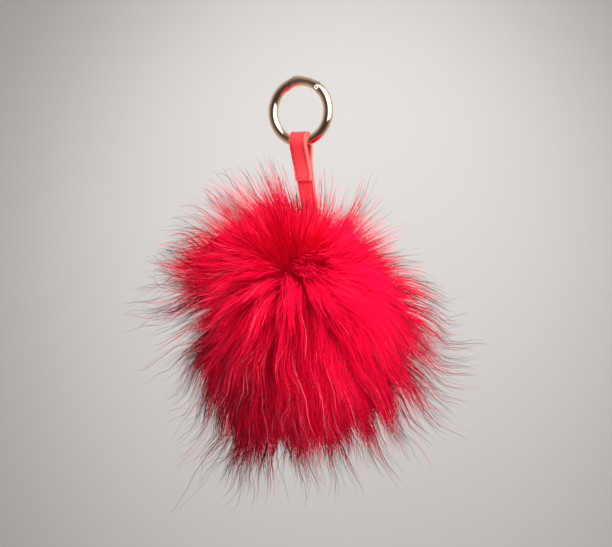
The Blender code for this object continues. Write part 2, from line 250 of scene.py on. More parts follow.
# The share of long hairs with a dark tip.
DARK_TIPPED = (
    (225, 0.10, 45, 0.40),
    (290, 0.00, 30, 0.35),
    (150, 0.00, 50, 0.25),
    (100, 0.00, 40, 0.30),
    (348, 0.00, 24, 0.35),
    (168, 0.30, 20, -0.35),
    (0, 1.00, 62, -0.90),
    (0, 0.62, 28, -0.50),
)

SEED = 20
BIG_LOCKS = 300
SMALL_LOCKS = 4400
VALLEY_WIDTH = 0.45
EVENLY_GATHERED = 0.55
LONGEST_REACH = 0.1020
STANDING_PROUD = 0.0120

# How uneven the hairs' lengths are: by chance, by lock, and less in the valleys between locks.
FEWER_LONG = 1.5
FEWER_STRAY = 1.25
TUFT_DEPTH = 0.5
BIG_LOCK_UNEVEN = 0.030
SMALL_LOCK_UNEVEN = 0.022
TANGLED_UNEVEN = 0.035
BIG_VALLEY_DEPTH = 0.13
SMALL_VALLEY_DEPTH = 0.04

# How hairs lean to their small lock, and with it to their big one, more so towards their tips.
LOOSEST = 0.4
GRIP_LIMIT = 1.35
SMALL_GRIP_CURVE = 1.2
BIG_GRIP_CURVE = 1.6
BIG_GRIP = 0.8

# How hairs sway with their locks, stray by themselves, drift in slow eddies and curl.
BEND_LIMIT = 1.25
SWAY_PER_GATHERED = 2.0
SWAY_CALMED = 0.6
SWAY_LIMITS = (0.12, 1.4)
BIG_SWAY = 0.7
SMALL_SWAY = 0.6
TANGLED_SWAY = 1.6
TANGLED_STRAYING = 1.4
EDDY_PITCH = 0.042
EDDY_HEIGHT = 0.0011
EDDY_WAVES = (
    ((1, 1.0, 0.4), (2, 1.7, 1.2)),
    ((2, 1.0, 2.2), (0, 1.6, 0.3)),
    ((0, 1.0, 1.1), (1, 1.8, 2.7)),
)
CURL_PITCHES = (0.012, 0.020)
CURL_UNEVEN = 0.9
CURL_RISE = 1.4
CURL_PACE = 0.83

# How dark a hair's dye is: by its locks, with painted shade in the valleys between them, and by
# chance.
BIG_LOCK_TONE = 0.35
SMALL_LOCK_TONE = 0.60
EVEN_TONE = 0.35
TONE_LIMITS = (0.2, 1.2)
HAIR_TONE = 0.30

# How the dyes are shared out among the hairs, where the tables above change nothing.
TUFTED_SHARE = 0.5
SHADED_SHARE = 0.02
SHADED_BY_TONE = 0.5
BURGUNDY_SHARE = 0.45
# How strongly the painted highlights gather into streaks, by small lock.
STREAKS = 6.0
STREAK_CURVE = 5
DARK_FROM = 1.05
DARK_TIPPED_SHARE = 0.60
DIPPED_EARLY_SHARE = 0.25

# The dense underfur, as a share of the dense pile's reach.
FORM_SHARE = 0.76

# Single hairs: how far they roll, where and how much they taper, and how their widths vary.
HAIR_ROLL = 1.1
TAPER_FROM = 0.45
TAPER = 0.6
WIDTH_SHARES = (0.7, 1.25)

# The coats of hair, from the soft down to the long guard hairs. Root, shortest and longest are
# shares of the dense pile's reach, and stray is the share of the longest hairs' reach beyond it.
Coat = namedtuple(
    "Coat", "name pieces hairs points root shortest longest stray gather swing curl width lift",
)
COATS = (
    Coat("down", 3, 28000, 4, 0.72, 0.82, 1.15, 0.0, 0.50, 0.0006, 0.0001, 0.00020, 0.96),
    Coat("locks", 2, 9500, 8, 0.70, 0.86, 1.32, 0.3, 0.85, 0.0011, 0.0002, 0.00020, 0.94),
    Coat("guard_hairs", 1, 11000, 10, 0.72, 0.94, 1.20, 1.15, 1.00, 0.0017, 0.0002, 0.00023, 0.9),
)


# --- Settings -----------------------------------------------------------------------------
def metres(name, description, default, least=0.0):
    """A setting for a length."""
    return FloatProperty(
        name=name, description=description, default=default, min=least, unit="LENGTH",
    )


def tint(name, description, default):
    """A setting for a colour."""
    return FloatVectorProperty(
        name=name, description=description, default=default, min=0.0, max=1.0, subtype="COLOR",
    )


class CharmFurSettings(bpy.types.PropertyGroup):
    """Sizes and dyes of the fur."""

    ball_radius: metres("Ball radius", "Radius of the pelt that the hair grows from", 0.026, 0.005)
    dense_reach: metres("Dense reach", "From the ball's centre to the dense pile", 0.057, 0.03)
    stray_reach: metres("Stray reach", "How far the longest hairs stand out of the pile", 0.012)
    thickness: FloatProperty(
        name="Thickness", description="How many hairs grow, as a share of the full coat",
        default=1.0, min=0.01, max=1.0, subtype="FACTOR",
    )
    bright: tint("Bright dye", "Colour of the lit hair", (0.82, 0.0022, 0.040))
    # Painted glow: the hair gives off its own colour, standing in for light scattered through the thin
    # hairs.
    glow: FloatProperty(
        name="Glow", description="Share of light that comes through the thin hairs", default=0.20,
    )
    dark: tint("Tip colour", "Colour of the guard hairs' tips", (0.016, 0.008, 0.010))


class CharmRingSettings(bpy.types.PropertyGroup):
    """Fineness and metal of the ring, its gate and its rivet."""

    wire_sides: IntProperty(
        name="Wire sides", description="How many sides the round wire has", default=48, min=12,
    )
    step: FloatProperty(
        name="Step", description="Turn between the wire's sections", default=math.radians(2.0),
        min=0.01, subtype="ANGLE",
    )
    edge: metres("Edge rounding", "How far the cut edges of the metal are rounded", 0.00020)
    metal: tint("Metal", "Colour of the plating", (0.85, 0.71, 0.54))


class CharmStrapSettings(bpy.types.PropertyGroup):
    """Sizes and colours of the leather strap."""

    width: metres("Width", "Width of the strap", 0.0087, 0.002)
    edge: metres("Edge rounding", "How far the strap's edges are rounded", 0.0006, 0.0001)
    stitch_length: metres("Stitch length", "Length of one stitch of the seams", 0.0018, 0.0005)
    stitch_pitch: metres("Stitch pitch", "From the start of one stitch to the next", 0.0025, 0.0006)
    seam_inset: metres("Seam inset", "From the strap's edge to its seam", 0.0012, 0.0004)
    grain_pitch: metres("Grain pitch", "Between the lines of the cross-hatched grain", 0.00130, 0.0001)
    leather: tint("Leather", "Colour of the leather", (0.92, 0.018, 0.030))
    edge_paint: tint("Edge paint", "Colour of the painted edges", (0.92, 0.110, 0.090))
    # The thread's deep red is partly painted shade from the grooves its stitches sit in.
    thread: tint("Thread", "Colour of the sewing thread", (0.36, 0.008, 0.016))


class CharmStageSettings(bpy.types.PropertyGroup):
    """The studio round the charm."""

    scale: metres("Picture scale", "Real size of one pixel at the ring", 0.000493, 0.00001)
    lens: FloatProperty(
        name="Lens", description="Focal length of the camera, in millimetres", default=120.0,
    )


# --- Directions and flow ------------------------------------------------------------------
def unit(vectors):
    """Rows scaled to a length of one."""
    return vectors / np.maximum(np.linalg.norm(vectors, axis=-1, keepdims=True), 1e-12)


def smooth(value, start, end):
    """Rise from 0 at start to 1 at end, level at both."""
    share = np.clip((value - start) / (end - start), 0.0, 1.0)
    return share * share * (3.0 - 2.0 * share)


def seen_from_front(clock, forward):
    """A direction given as the viewer in front sees it."""
    turn = math.radians(clock)
    azimuth = math.radians(FRONT_AZIMUTH)
    right = np.array((math.cos(azimuth), math.sin(azimuth), 0.0))
    toward = np.array((math.sin(azimuth), -math.cos(azimuth), 0.0))
    flat = right * math.sin(turn) + np.array((0.0, 0.0, math.cos(turn)))
    return unit(flat * math.sqrt(1.0 - forward**2) + toward * forward)


def degrees_between(rows, direction):
    """The angle of each row to one direction."""
    return np.degrees(np.arccos(np.clip(rows @ direction, -1.0, 1.0)))


def turned(rows, axes, angles):
    """Each row turned about its own axis."""
    cosine, sine = np.cos(angles)[:, None], np.sin(angles)[:, None]
    along = np.sum(axes * rows, axis=1, keepdims=True)
    return rows * cosine + np.cross(axes, rows) * sine + axes * along * (1.0 - cosine)


def combed(directions, share):
    """Lean directions away from the parting and the top, more so further out along the pile."""
    parting = seen_from_front(PARTING_CLOCK, PARTING_FORWARD)
    top = np.array((0.0, 0.0, 1.0))
    upright = UPRIGHT_SHARE * np.exp(-((degrees_between(directions, top) / UPRIGHT_SPREAD) ** 2))
    curl = (1.0 - upright) * np.minimum(share, COMBED_LIMIT) ** COMBED_CURL
    leaning = directions
    sagging = by_region(directions, SAGGING_ANGLE, SAGGING)
    for pole, amount in ((parting, COMBED_ANGLE), (top, sagging)):
        axes = np.cross(pole, leaning)
        sine = np.linalg.norm(axes, axis=1)
        leaning = turned(leaning, unit(axes), amount * curl * sine)
    return leaning


def by_region(directions, base, rows):
    """A base amount, changed round each row's direction."""
    total = np.full(len(directions), base)
    for clock, forward, spread, change in rows:
        apart = degrees_between(directions, seen_from_front(clock, forward))
        total += change * np.exp(-((apart / spread) ** 2))
    return total


def between(table, value):
    """Read a falling table of (place, amount) rows at one place, smoothly."""
    if value >= table[0][0]:
        return table[0][1]
    for number, ((high, above), (low, below)) in enumerate(zip(table, table[1:])):
        if value >= low:
            before = table[number - 1] if number else table[0]
            after = table[number + 2] if number + 2 < len(table) else table[-1]
            share = (high - value) / (high - low)
            span = high - low
            slope_in = (below - before[1]) / max(before[0] - low, span) * span
            slope_out = (after[1] - above) / max(high - after[0], span) * span
            return (
                above * (1.0 + 2.0 * share) * (1.0 - share) ** 2
                + below * (3.0 - 2.0 * share) * share**2
                + slope_in * share * (1.0 - share) ** 2
                - slope_out * share**2 * (1.0 - share)
            )
    return table[-1][1]


LEAN_SAMPLES = 60


def strap_line(heights):
    """The strap's sideways place at many heights."""
    rows = np.linspace(STRAP_LEAN[-1][0], STRAP_LEAN[0][0], LEAN_SAMPLES)
    places = [between(STRAP_LEAN, row) for row in rows]
    return np.interp(heights, rows, places)


def waves(place, turns, rows):
    """How far slow waves move points each way, by where the points are."""
    ways = [
        sum(np.sin(turns * pace * place[..., axis] + phase) for axis, pace, phase in row)
        for row in rows
    ]
    return np.stack(ways, axis=-1)


def flowed(rest, ball_radius, hanging=DROOP):
    """Carry points of the straight, even pile to where the combed, hanging hair has them."""
    out = np.linalg.norm(rest, axis=1)
    share = np.maximum(out - ball_radius, 0.0) / PILE_DEPTH
    place = np.array(BALL_CENTRE) + combed(unit(rest), share) * out[:, None]
    ripples = waves(place, 2.0 * math.pi / RIPPLE_PITCH, RIPPLE_WAVES)
    place = place + ripples * (RIPPLE * np.minimum(share, 1.0))[:, None]
    place[:, 2] -= hanging * share**2
    return beside_strap(place)


def beside_strap(place):
    """Push points away from the strap's middle line, above the ball."""
    hollow = STRAP_HOLLOW * smooth(place[:, 2], HOLLOW_FROM_Z, HOLLOW_TO_Z)
    aside = place * np.array((1.0, 1.0, 0.0))
    aside[:, 0] -= strap_line(place[:, 2])
    far = np.linalg.norm(aside, axis=1)
    grown = np.sqrt(far**2 + hollow**2)
    return place + unit(aside) * (grown - far)[:, None]


# --- Node materials -----------------------------------------------------------------------
class Field:
    """A node's output that Python sums can be written with."""

    def __init__(self, finish, socket):
        self.finish = finish
        self.socket = socket

    def maths(self, operation, *values):
        inputs = dict(enumerate(values))
        return self.finish.node("ShaderNodeMath", {"operation": operation}, inputs)

    def __add__(self, other):
        return self.maths("ADD", self, other)

    def __radd__(self, other):
        return self.maths("ADD", other, self)

    def __sub__(self, other):
        return self.maths("SUBTRACT", self, other)

    def __rsub__(self, other):
        return self.maths("SUBTRACT", other, self)

    def __mul__(self, other):
        return self.maths("MULTIPLY", self, other)

    def __rmul__(self, other):
        return self.maths("MULTIPLY", other, self)

    def __truediv__(self, other):
        return self.maths("DIVIDE", self, other)

    def of(self, operation, *others):
        """Any other maths operation, with this value first."""
        return self.maths(operation, self, *others)

    def ramp(self, low, high, first=0.0, last=1.0):
        """Smoothly from first at low to last at high."""
        return self.finish.node(
            "ShaderNodeMapRange",
            {"interpolation_type": "SMOOTHSTEP"},
            {"Value": self, "From Min": low, "From Max": high, "To Min": first, "To Max": last},
        )


class Finish:
    """A node material in the making."""

    def __init__(self, name, **constants):
        self.material = bpy.data.materials.new(name)
        self.material.use_nodes = True
        self.tree = self.material.node_tree
        self.shader = self.tree.nodes["Principled BSDF"]
        for key, value in constants.items():
            self.shader.inputs[key.replace("_", " ")].default_value = value

    def node(self, kind, settings=None, inputs=None, output=0):
        """Add a node: its settings first, then the values or links of its sockets."""
        made = self.tree.nodes.new(kind)
        settings = dict(settings or {})
        if "stops" in settings:
            self.set_stops(made.color_ramp, settings.pop("stops"), settings.pop("constant", False))
        for key, value in settings.items():
            setattr(made, key, value)
        for key, value in (inputs or {}).items():
            if isinstance(value, Field):
                self.tree.links.new(value.socket, made.inputs[key])
            else:
                made.inputs[key].default_value = value
        return Field(self, made.outputs[output])

    @staticmethod
    def set_stops(ramp, stops, constant):
        ramp.interpolation = "CONSTANT" if constant else "LINEAR"
        while len(ramp.elements) < len(stops):
            ramp.elements.new(1.0)
        for element, (place, colour) in zip(ramp.elements, stops):
            element.position = place
            element.color = (*colour, 1.0)

    def mix(self, factor, first, second, blend="MIX"):
        """One colour over another."""
        colours = [value if isinstance(value, Field) else (*value, 1.0) for value in (first, second)]
        settings = {"data_type": "RGBA", "blend_type": blend}
        inputs = {0: factor, 6: colours[0], 7: colours[1]}
        return self.node("ShaderNodeMix", settings, inputs, output=2)

    def where(self):
        """Where a point lies on its object."""
        return self.node("ShaderNodeTexCoord", output=3)

    def noise(self, scale, detail=2.0):
        """Noise with so many lumps to a metre."""
        inputs = {"Vector": self.where(), "Scale": scale, "Detail": detail}
        return self.node("ShaderNodeTexNoise", None, inputs)

    def vector(self, operation, *values, output=0):
        """Vector maths."""
        inputs = dict(enumerate(values))
        return self.node("ShaderNodeVectorMath", {"operation": operation}, inputs, output)

    def mapped(self, name):
        """A UV map's two values, across and along."""
        place = self.node("ShaderNodeUVMap", {"uv_map": name})
        across = self.node("ShaderNodeSeparateXYZ", None, {"Vector": place})
        return across, Field(self, across.socket.node.outputs["Y"])

    def feed(self, **fields):
        """Link fields to the shader's sockets."""
        for key, field in fields.items():
            self.tree.links.new(field.socket, self.shader.inputs[key.replace("_", " ")])
        return self

    def bump(self, height, distance, strength=1.0):
        """Relief from a height, in metres."""
        inputs = {"Height": height, "Distance": distance, "Strength": strength}
        return self.feed(Normal=self.node("ShaderNodeBump", None, inputs))


HAIR_MAP = "OFBake"

# The dyes of single hairs: shares of the bright dye at the root, along the body and at the
# tip, the white light through the tip, where a dark tip starts, and whether there is one.
Dye = namedtuple("Dye", "name root body tip pale dark_from dark")
DYES = (
    Dye("scarlet", 0.56, 0.92, 1.06, 0.00, 0.50, 0.0),
    Dye("poppy", 0.60, 0.98, 1.12, 0.008, 0.40, 0.0),
    Dye("crimson", 0.46, 0.74, 0.98, 0.00, 0.50, 0.0),
    Dye("cherry", 0.38, 0.55, 0.80, 0.00, 0.50, 0.0),
    Dye("burgundy", 0.26, 0.34, 0.30, 0.00, 0.50, 0.0),
    # Tufted hair paints shade deep in its tufts and light on their tips.
    Dye("tufted", 0.24, 0.40, 1.10, 0.010, 0.50, 0.0),
    # A pale dye that paints highlights on streaks of hair.
    Dye("rose_highlight", 0.70, 1.05, 1.15, 0.15, 0.35, 0.0),
    Dye("dipped late", 0.60, 0.88, 0.70, 0.00, 0.62, 1.0),
    Dye("dipped early", 0.50, 0.62, 0.50, 0.00, 0.40, 1.0),
)
(
    SCARLET, POPPY, CRIMSON, CHERRY, BURGUNDY, TUFTED, ROSE_HIGHLIGHT, DIPPED_LATE, DIPPED_EARLY,
) = range(len(DYES))

# The dyes of hairs whose tone is darker than each step, and of those lighter than the last.
DARKER_DYES = ((CRIMSON, 0.30), (CHERRY, 0.75), (BURGUNDY, 1.20))
LIGHTER_THAN = -0.40

# Where along a hair its body colour is reached, where the tip's comes in, over how much of it
# a dark tip comes in, how pale its body is beside its tip, and how fast deep dyes lose pink.
BODY_AT = 0.5
TIP_SPAN = (0.45, 0.95)
DIP_SPAN = 0.22
PALE_BODY = 0.5
DEEPENING = 1.5


def hair_finish(settings):
    """Dyed hair whose root, body and tip colours are looked up by the kind of hair, and which gives
    off its own colour as a painted glow.
    """
    finish = Finish(
        "dyed_hair", Roughness=0.7, Specular_IOR_Level=0.02, Emission_Strength=settings.glow,
    )
    across, along = finish.mapped(HAIR_MAP)

    def by_kind(colours):
        stops = [(number / len(DYES), colour) for number, colour in enumerate(colours)]
        return finish.node("ShaderNodeValToRGB", {"stops": stops, "constant": True}, {"Fac": across})

    def dyed(share, pale):
        red, green, blue = settings.bright
        deep = share**DEEPENING
        return (min(red * share + pale, 1.0), green * deep + pale, blue * deep + pale)

    roots = by_kind([dyed(dye.root, 0.0) for dye in DYES])
    bodies = by_kind([dyed(dye.body, dye.pale * PALE_BODY) for dye in DYES])
    tips = by_kind([dyed(dye.tip, dye.pale) for dye in DYES])
    dark = by_kind([(dye.dark,) * 3 for dye in DYES])
    starts = by_kind([(dye.dark_from,) * 3 for dye in DYES])
    shade = finish.mix(along.ramp(0.0, BODY_AT), roots, bodies)
    shade = finish.mix(along.ramp(*TIP_SPAN), shade, tips)
    dipped = ((along - starts) / DIP_SPAN).of("MINIMUM", 1.0).of("MAXIMUM", 0.0) * dark
    shade = finish.mix(dipped, shade, tuple(settings.dark))
    # The hair's colour also feeds its emission: a painted glow.
    return finish.feed(Base_Color=shade, Emission_Color=shade).material


# --- Hair ---------------------------------------------------------------------------------
GOLDEN_ANGLE = math.pi * (3.0 - math.sqrt(5.0))
ROW_SCATTER = 0.35
TURN_SCATTER = 0.4


def even_directions(count, random):
    """Directions spread over the sphere, crowded as the pile is, without the bare top."""
    rows = np.arange(count) + random.uniform(-ROW_SCATTER, ROW_SCATTER, count)
    height = 1.0 - 2.0 * np.clip((rows + 0.5) / count, 0.0, 1.0)
    turn = GOLDEN_ANGLE * rows + random.uniform(-TURN_SCATTER, TURN_SCATTER, count)
    flat = np.sqrt(1.0 - height**2)
    sphere = np.stack((flat * np.cos(turn), flat * np.sin(turn), height), axis=1)
    parting = seen_from_front(PARTING_CLOCK, PARTING_FORWARD)
    crowd = parting * CROWDED_TO_PARTING
    crowd[2] += CROWDED_TO_TOP
    directions = unit(sphere + crowd)
    apart = degrees_between(directions, parting)
    closer = WHORL_CROWDING * np.exp(-((apart / WHORL_SPREAD) ** 2))
    directions = turned(directions, unit(np.cross(directions, parting)), np.radians(apart * closer))
    return directions[directions[:, 2] < math.cos(math.radians(BARE_TOP_ANGLE))]


class Locks:
    """Centres that neighbouring hairs gather to."""

    def __init__(self, count, random):
        self.centres = even_directions(count, random)
        self.swing = random.normal(0.0, 1.0, (len(self.centres), 3))
        self.phase = random.uniform(0.0, 2.0 * math.pi, (len(self.centres), 2))
        self.longer = random.normal(0.0, 1.0, len(self.centres))
        self.long = random.uniform(0.0, 1.0, len(self.centres))
        self.darker = random.normal(0.0, 1.0, len(self.centres))
        self.tree = KDTree(len(self.centres))
        for number, centre in enumerate(self.centres):
            self.tree.insert(centre, number)
        self.tree.balance()

    def nearest(self, directions):
        """Each direction's own lock, and how near it lies to the valley round that lock."""
        found = [self.tree.find_n(direction, 2) for direction in directions]
        own = np.array([pair[0][1] for pair in found])
        near, next_near = np.array([(pair[0][2], pair[1][2]) for pair in found]).T
        return own, np.clip(1.0 - (next_near - near) / (next_near * VALLEY_WIDTH), 0.0, 1.0)


class Pile:
    """The fur's locks, which every coat of hair gathers into."""

    def __init__(self, settings):
        self.settings = settings
        self.random = np.random.default_rng(SEED)
        self.big = Locks(BIG_LOCKS, self.random)
        self.small = Locks(SMALL_LOCKS, self.random)

    def dense(self, tips):
        """How far from the ball's centre the dense pile reaches, by the tips' direction."""
        return by_region(tips, self.settings.dense_reach, DENSE)


class Hairs:
    """The hairs of one piece, as centre lines from inside the pile to their tips."""

    def __init__(self, pile, coat, count):
        self.pile, self.coat, self.random = pile, coat, pile.random
        self.roots = even_directions(count, self.random)
        self.count = len(self.roots)
        self.tips = combed(self.roots, np.ones(self.count))
        self.gathered = by_region(self.tips, EVENLY_GATHERED, GATHERED)
        self.tangled = by_region(self.tips, 0.0, TANGLED)
        self.big, self.valley = pile.big.nearest(self.roots)
        self.small, self.crease = pile.small.nearest(self.roots)
        self.dense = pile.dense(self.tips)
        self.tone = self.toned()
        self.reach = self.reached()
        self.along = np.linspace(0.0, 1.0, coat.points)
        roots_out = self.dense * coat.root
        self.out = roots_out[:, None] + (self.reach - roots_out)[:, None] * self.along
        self.place = self.leaned()
        self.sway()
        self.curl()
        self.keep_near()

    def toned(self):
        """How dark each hair's dye is: by its locks, by chance, with painted shade in the valleys
        between locks, and with painted light and shade by where it grows.
        """
        # Hairs in the valleys between locks get darker dyes: painted shade.
        locks = (
            BIG_LOCK_TONE * self.pile.big.darker[self.big]
            + SMALL_LOCK_TONE * self.pile.small.darker[self.small] + self.valley - EVEN_TONE
        )
        tone = locks * np.clip(self.gathered, *TONE_LIMITS)
        tone += self.random.normal(0.0, HAIR_TONE, self.count)
        # Painted light and shade by where the tips point.
        return tone + by_region(self.tips, 0.0, PAINTED_LIGHT_AND_SHADE)

    def reached(self):
        """How far each hair's tip lies from the ball's centre."""
        coat, big, small = self.coat, self.pile.big, self.pile.small
        spread = self.random.uniform(0.0, 1.0, self.count) ** FEWER_LONG
        reach = self.dense * (coat.shortest + (coat.longest - coat.shortest) * spread)
        far = self.pile.settings.stray_reach + by_region(self.tips, 0.0, STRAY)
        own = self.random.uniform(0.0, 1.0, self.count)
        tuft = 1.0 - TUFT_DEPTH * np.clip(self.gathered, 0.0, 1.0) * (1.0 - big.long[self.big])
        reach += coat.stray * far * own**FEWER_STRAY * tuft
        uneven = SMALL_LOCK_UNEVEN + TANGLED_UNEVEN * self.tangled
        reach *= (
            1.0 + BIG_LOCK_UNEVEN * self.gathered * big.longer[self.big]
            + uneven * small.longer[self.small]
        )
        valleys = BIG_VALLEY_DEPTH * self.valley**2 + SMALL_VALLEY_DEPTH * self.crease**2
        reach *= 1.0 - self.gathered * valleys
        return np.minimum(reach, LONGEST_REACH)

    def leaned(self):
        """The centre lines, leaning to their locks, combed and hanging."""
        coat = self.coat
        hold = self.random.uniform(LOOSEST, 1.0, self.count) * self.gathered * coat.gather
        grip = (self.out / self.dense[:, None] - coat.root) / (1.0 - coat.root)
        grip = np.clip(grip, 0.0, GRIP_LIMIT)
        to_small = (hold[:, None] * grip**SMALL_GRIP_CURVE)[:, :, None]
        to_big = (hold[:, None] * BIG_GRIP * grip**BIG_GRIP_CURVE)[:, :, None]
        small, big = self.pile.small.centres[self.small], self.pile.big.centres[self.big]
        lean = (
            self.roots[:, None] + (small - self.roots)[:, None] * to_small
            + (big - small)[:, None] * to_big
        )
        rest = unit(lean) * self.out[:, :, None]
        hanging = np.repeat(by_region(self.tips, DROOP, HANGING), coat.points)
        place = flowed(rest.reshape(-1, 3), self.pile.settings.ball_radius, hanging)
        return place.reshape(self.count, coat.points, 3)

    def sway(self):
        """Move hairs with their locks, by themselves and in slow eddies."""
        share = (self.out - self.pile.settings.ball_radius) / PILE_DEPTH
        bend = np.clip(share, 0.0, BEND_LIMIT) ** 2
        unrest = np.clip(self.gathered * SWAY_PER_GATHERED - SWAY_CALMED, *SWAY_LIMITS)[:, None]
        crossed = (SMALL_SWAY + TANGLED_SWAY * self.tangled)[:, None]
        big, small = self.pile.big.swing[self.big], self.pile.small.swing[self.small]
        drift = unrest * (big * BIG_SWAY + small * crossed)
        tangle = 1.0 + self.tangled * self.random.uniform(0.0, TANGLED_STRAYING, self.count) ** 2
        drift += self.random.normal(0.0, 1.0, (self.count, 3)) * tangle[:, None]
        self.place += drift[:, None] * (bend * self.coat.swing)[:, :, None]
        eddies = waves(self.place / EDDY_PITCH * 2.0 * math.pi, 1.0, EDDY_WAVES)
        self.place += eddies * (bend * unrest * EDDY_HEIGHT)[:, :, None]

    def curl(self):
        """Curl each hair slightly about its own line."""
        uneven = self.random.normal(0.0, CURL_UNEVEN, (self.count, 2))
        phase = self.pile.small.phase[self.small] + uneven
        pitch = self.random.uniform(*CURL_PITCHES, self.count)
        turn = 2.0 * math.pi * self.out / pitch[:, None]
        tangent = unit(self.place[:, -1] - self.place[:, 0])
        side = unit(np.cross(tangent, self.random.normal(0.0, 1.0, (self.count, 3))))
        other = np.cross(tangent, side)
        height = self.coat.curl * np.clip(self.along * CURL_RISE, 0.0, 1.0)
        sideways = np.sin(turn + phase[:, :1]) * height
        otherways = np.cos(turn * CURL_PACE + phase[:, 1:]) * height
        self.place += side[:, None] * sideways[:, :, None]
        self.place += other[:, None] * otherways[:, :, None]

    def keep_near(self):
        """Leave out hairs that stand too far out of the solids' box."""
        low, high = (np.array(corner) for corner in CAD_BOX)
        near = (self.place > low - STANDING_PROUD) & (self.place < high + STANDING_PROUD)
        near = near.all(axis=(1, 2))
        self.outstanding = (self.reach / self.dense)[near]
        self.streak = self.pile.small.long[self.small][near]
        self.place, self.tips, self.tone = self.place[near], self.tips[near], self.tone[near]
        self.count = len(self.place)


def ribbons(hairs):
    """Each hair's points and soft normals: pairs along a tapered flat ribbon, and its tip."""
    place, along, lift = hairs.place, hairs.along, hairs.coat.lift
    tangent = unit(np.gradient(place, axis=1))
    outward = unit(place - np.array(BALL_CENTRE))
    mean_out = unit(outward[:, hairs.coat.points // 2])
    mean_tangent = unit(place[:, -1] - place[:, 0])
    first = unit(mean_out - mean_tangent * np.sum(mean_out * mean_tangent, 1, keepdims=True))
    second = np.cross(mean_tangent, first)
    roll = hairs.random.uniform(-HAIR_ROLL, HAIR_ROLL, hairs.count)[:, None]
    facing = first * np.cos(roll) + second * np.sin(roll)
    normal = unit(facing[:, None] - tangent * np.sum(facing[:, None] * tangent, 2, keepdims=True))
    side = np.cross(tangent, normal)
    taper = 1.0 - smooth(along, TAPER_FROM, 1.0) * TAPER
    widths = hairs.random.uniform(*WIDTH_SHARES, hairs.count)[:, None]
    half = 0.5 * hairs.coat.width * widths * taper
    edges = np.stack((place - side * half[:, :, None], place + side * half[:, :, None]), axis=2)
    points = np.concatenate((edges[:, :-1].reshape(hairs.count, -1, 3), place[:, -1:]), axis=1)
    soft = unit(normal * (1.0 - lift) + outward * lift)
    normals = np.concatenate((np.repeat(soft[:, :-1], 2, axis=1), soft[:, -1:]), axis=1)
    return points, normals


def ribbon_faces(hairs):
    """Triangles up every ribbon to its tip."""
    faces = []
    for low in range(0, 2 * (hairs.coat.points - 2), 2):
        faces += [(low, low + 1, low + 2), (low + 1, low + 3, low + 2)]
    last = 2 * (hairs.coat.points - 2)
    faces.append((last, last + 1, last + 2))
    starts = np.arange(hairs.count) * (2 * hairs.coat.points - 1)
    return (np.array(faces)[None] + starts[:, None, None]).reshape(-1, 3)


def fur_object(name, mesh, material):
    """An object for a finished mesh of fur."""
    mesh.materials.append(material)
    made = bpy.data.objects.new(name, mesh)
    bpy.context.scene.collection.objects.link(made)
    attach(made, "charm")
    return made


def hair_object(name, hairs, kinds, material):
    """Join hairs into one mesh, with one tint column for each kind of hair."""
    points, normals = ribbons(hairs)
    faces = ribbon_faces(hairs)
    mesh = bpy.data.meshes.new(name)
    mesh.from_pydata(points.reshape(-1, 3), [], faces)
    column = (kinds[:, None] + 0.5 + np.array((-0.2, 0.2))) / len(DYES)
    uv = np.empty((*points.shape[:2], 2))
    uv[:, :-1, 0] = np.tile(column, (1, hairs.coat.points - 1))
    uv[:, :-1, 1] = np.repeat(hairs.along[:-1], 2)
    uv[:, -1, 0] = (kinds + 0.5) / len(DYES)
    uv[:, -1, 1] = 1.0
    layer = mesh.uv_layers.new(name=HAIR_MAP)
    layer.uv.foreach_set("vector", uv.reshape(-1, 2)[faces.ravel()].astype(np.float32).ravel())
    mesh.shade_smooth()
    mesh.normals_split_custom_set_from_vertices(normals.reshape(-1, 3))
    return fur_object(name, mesh, material)


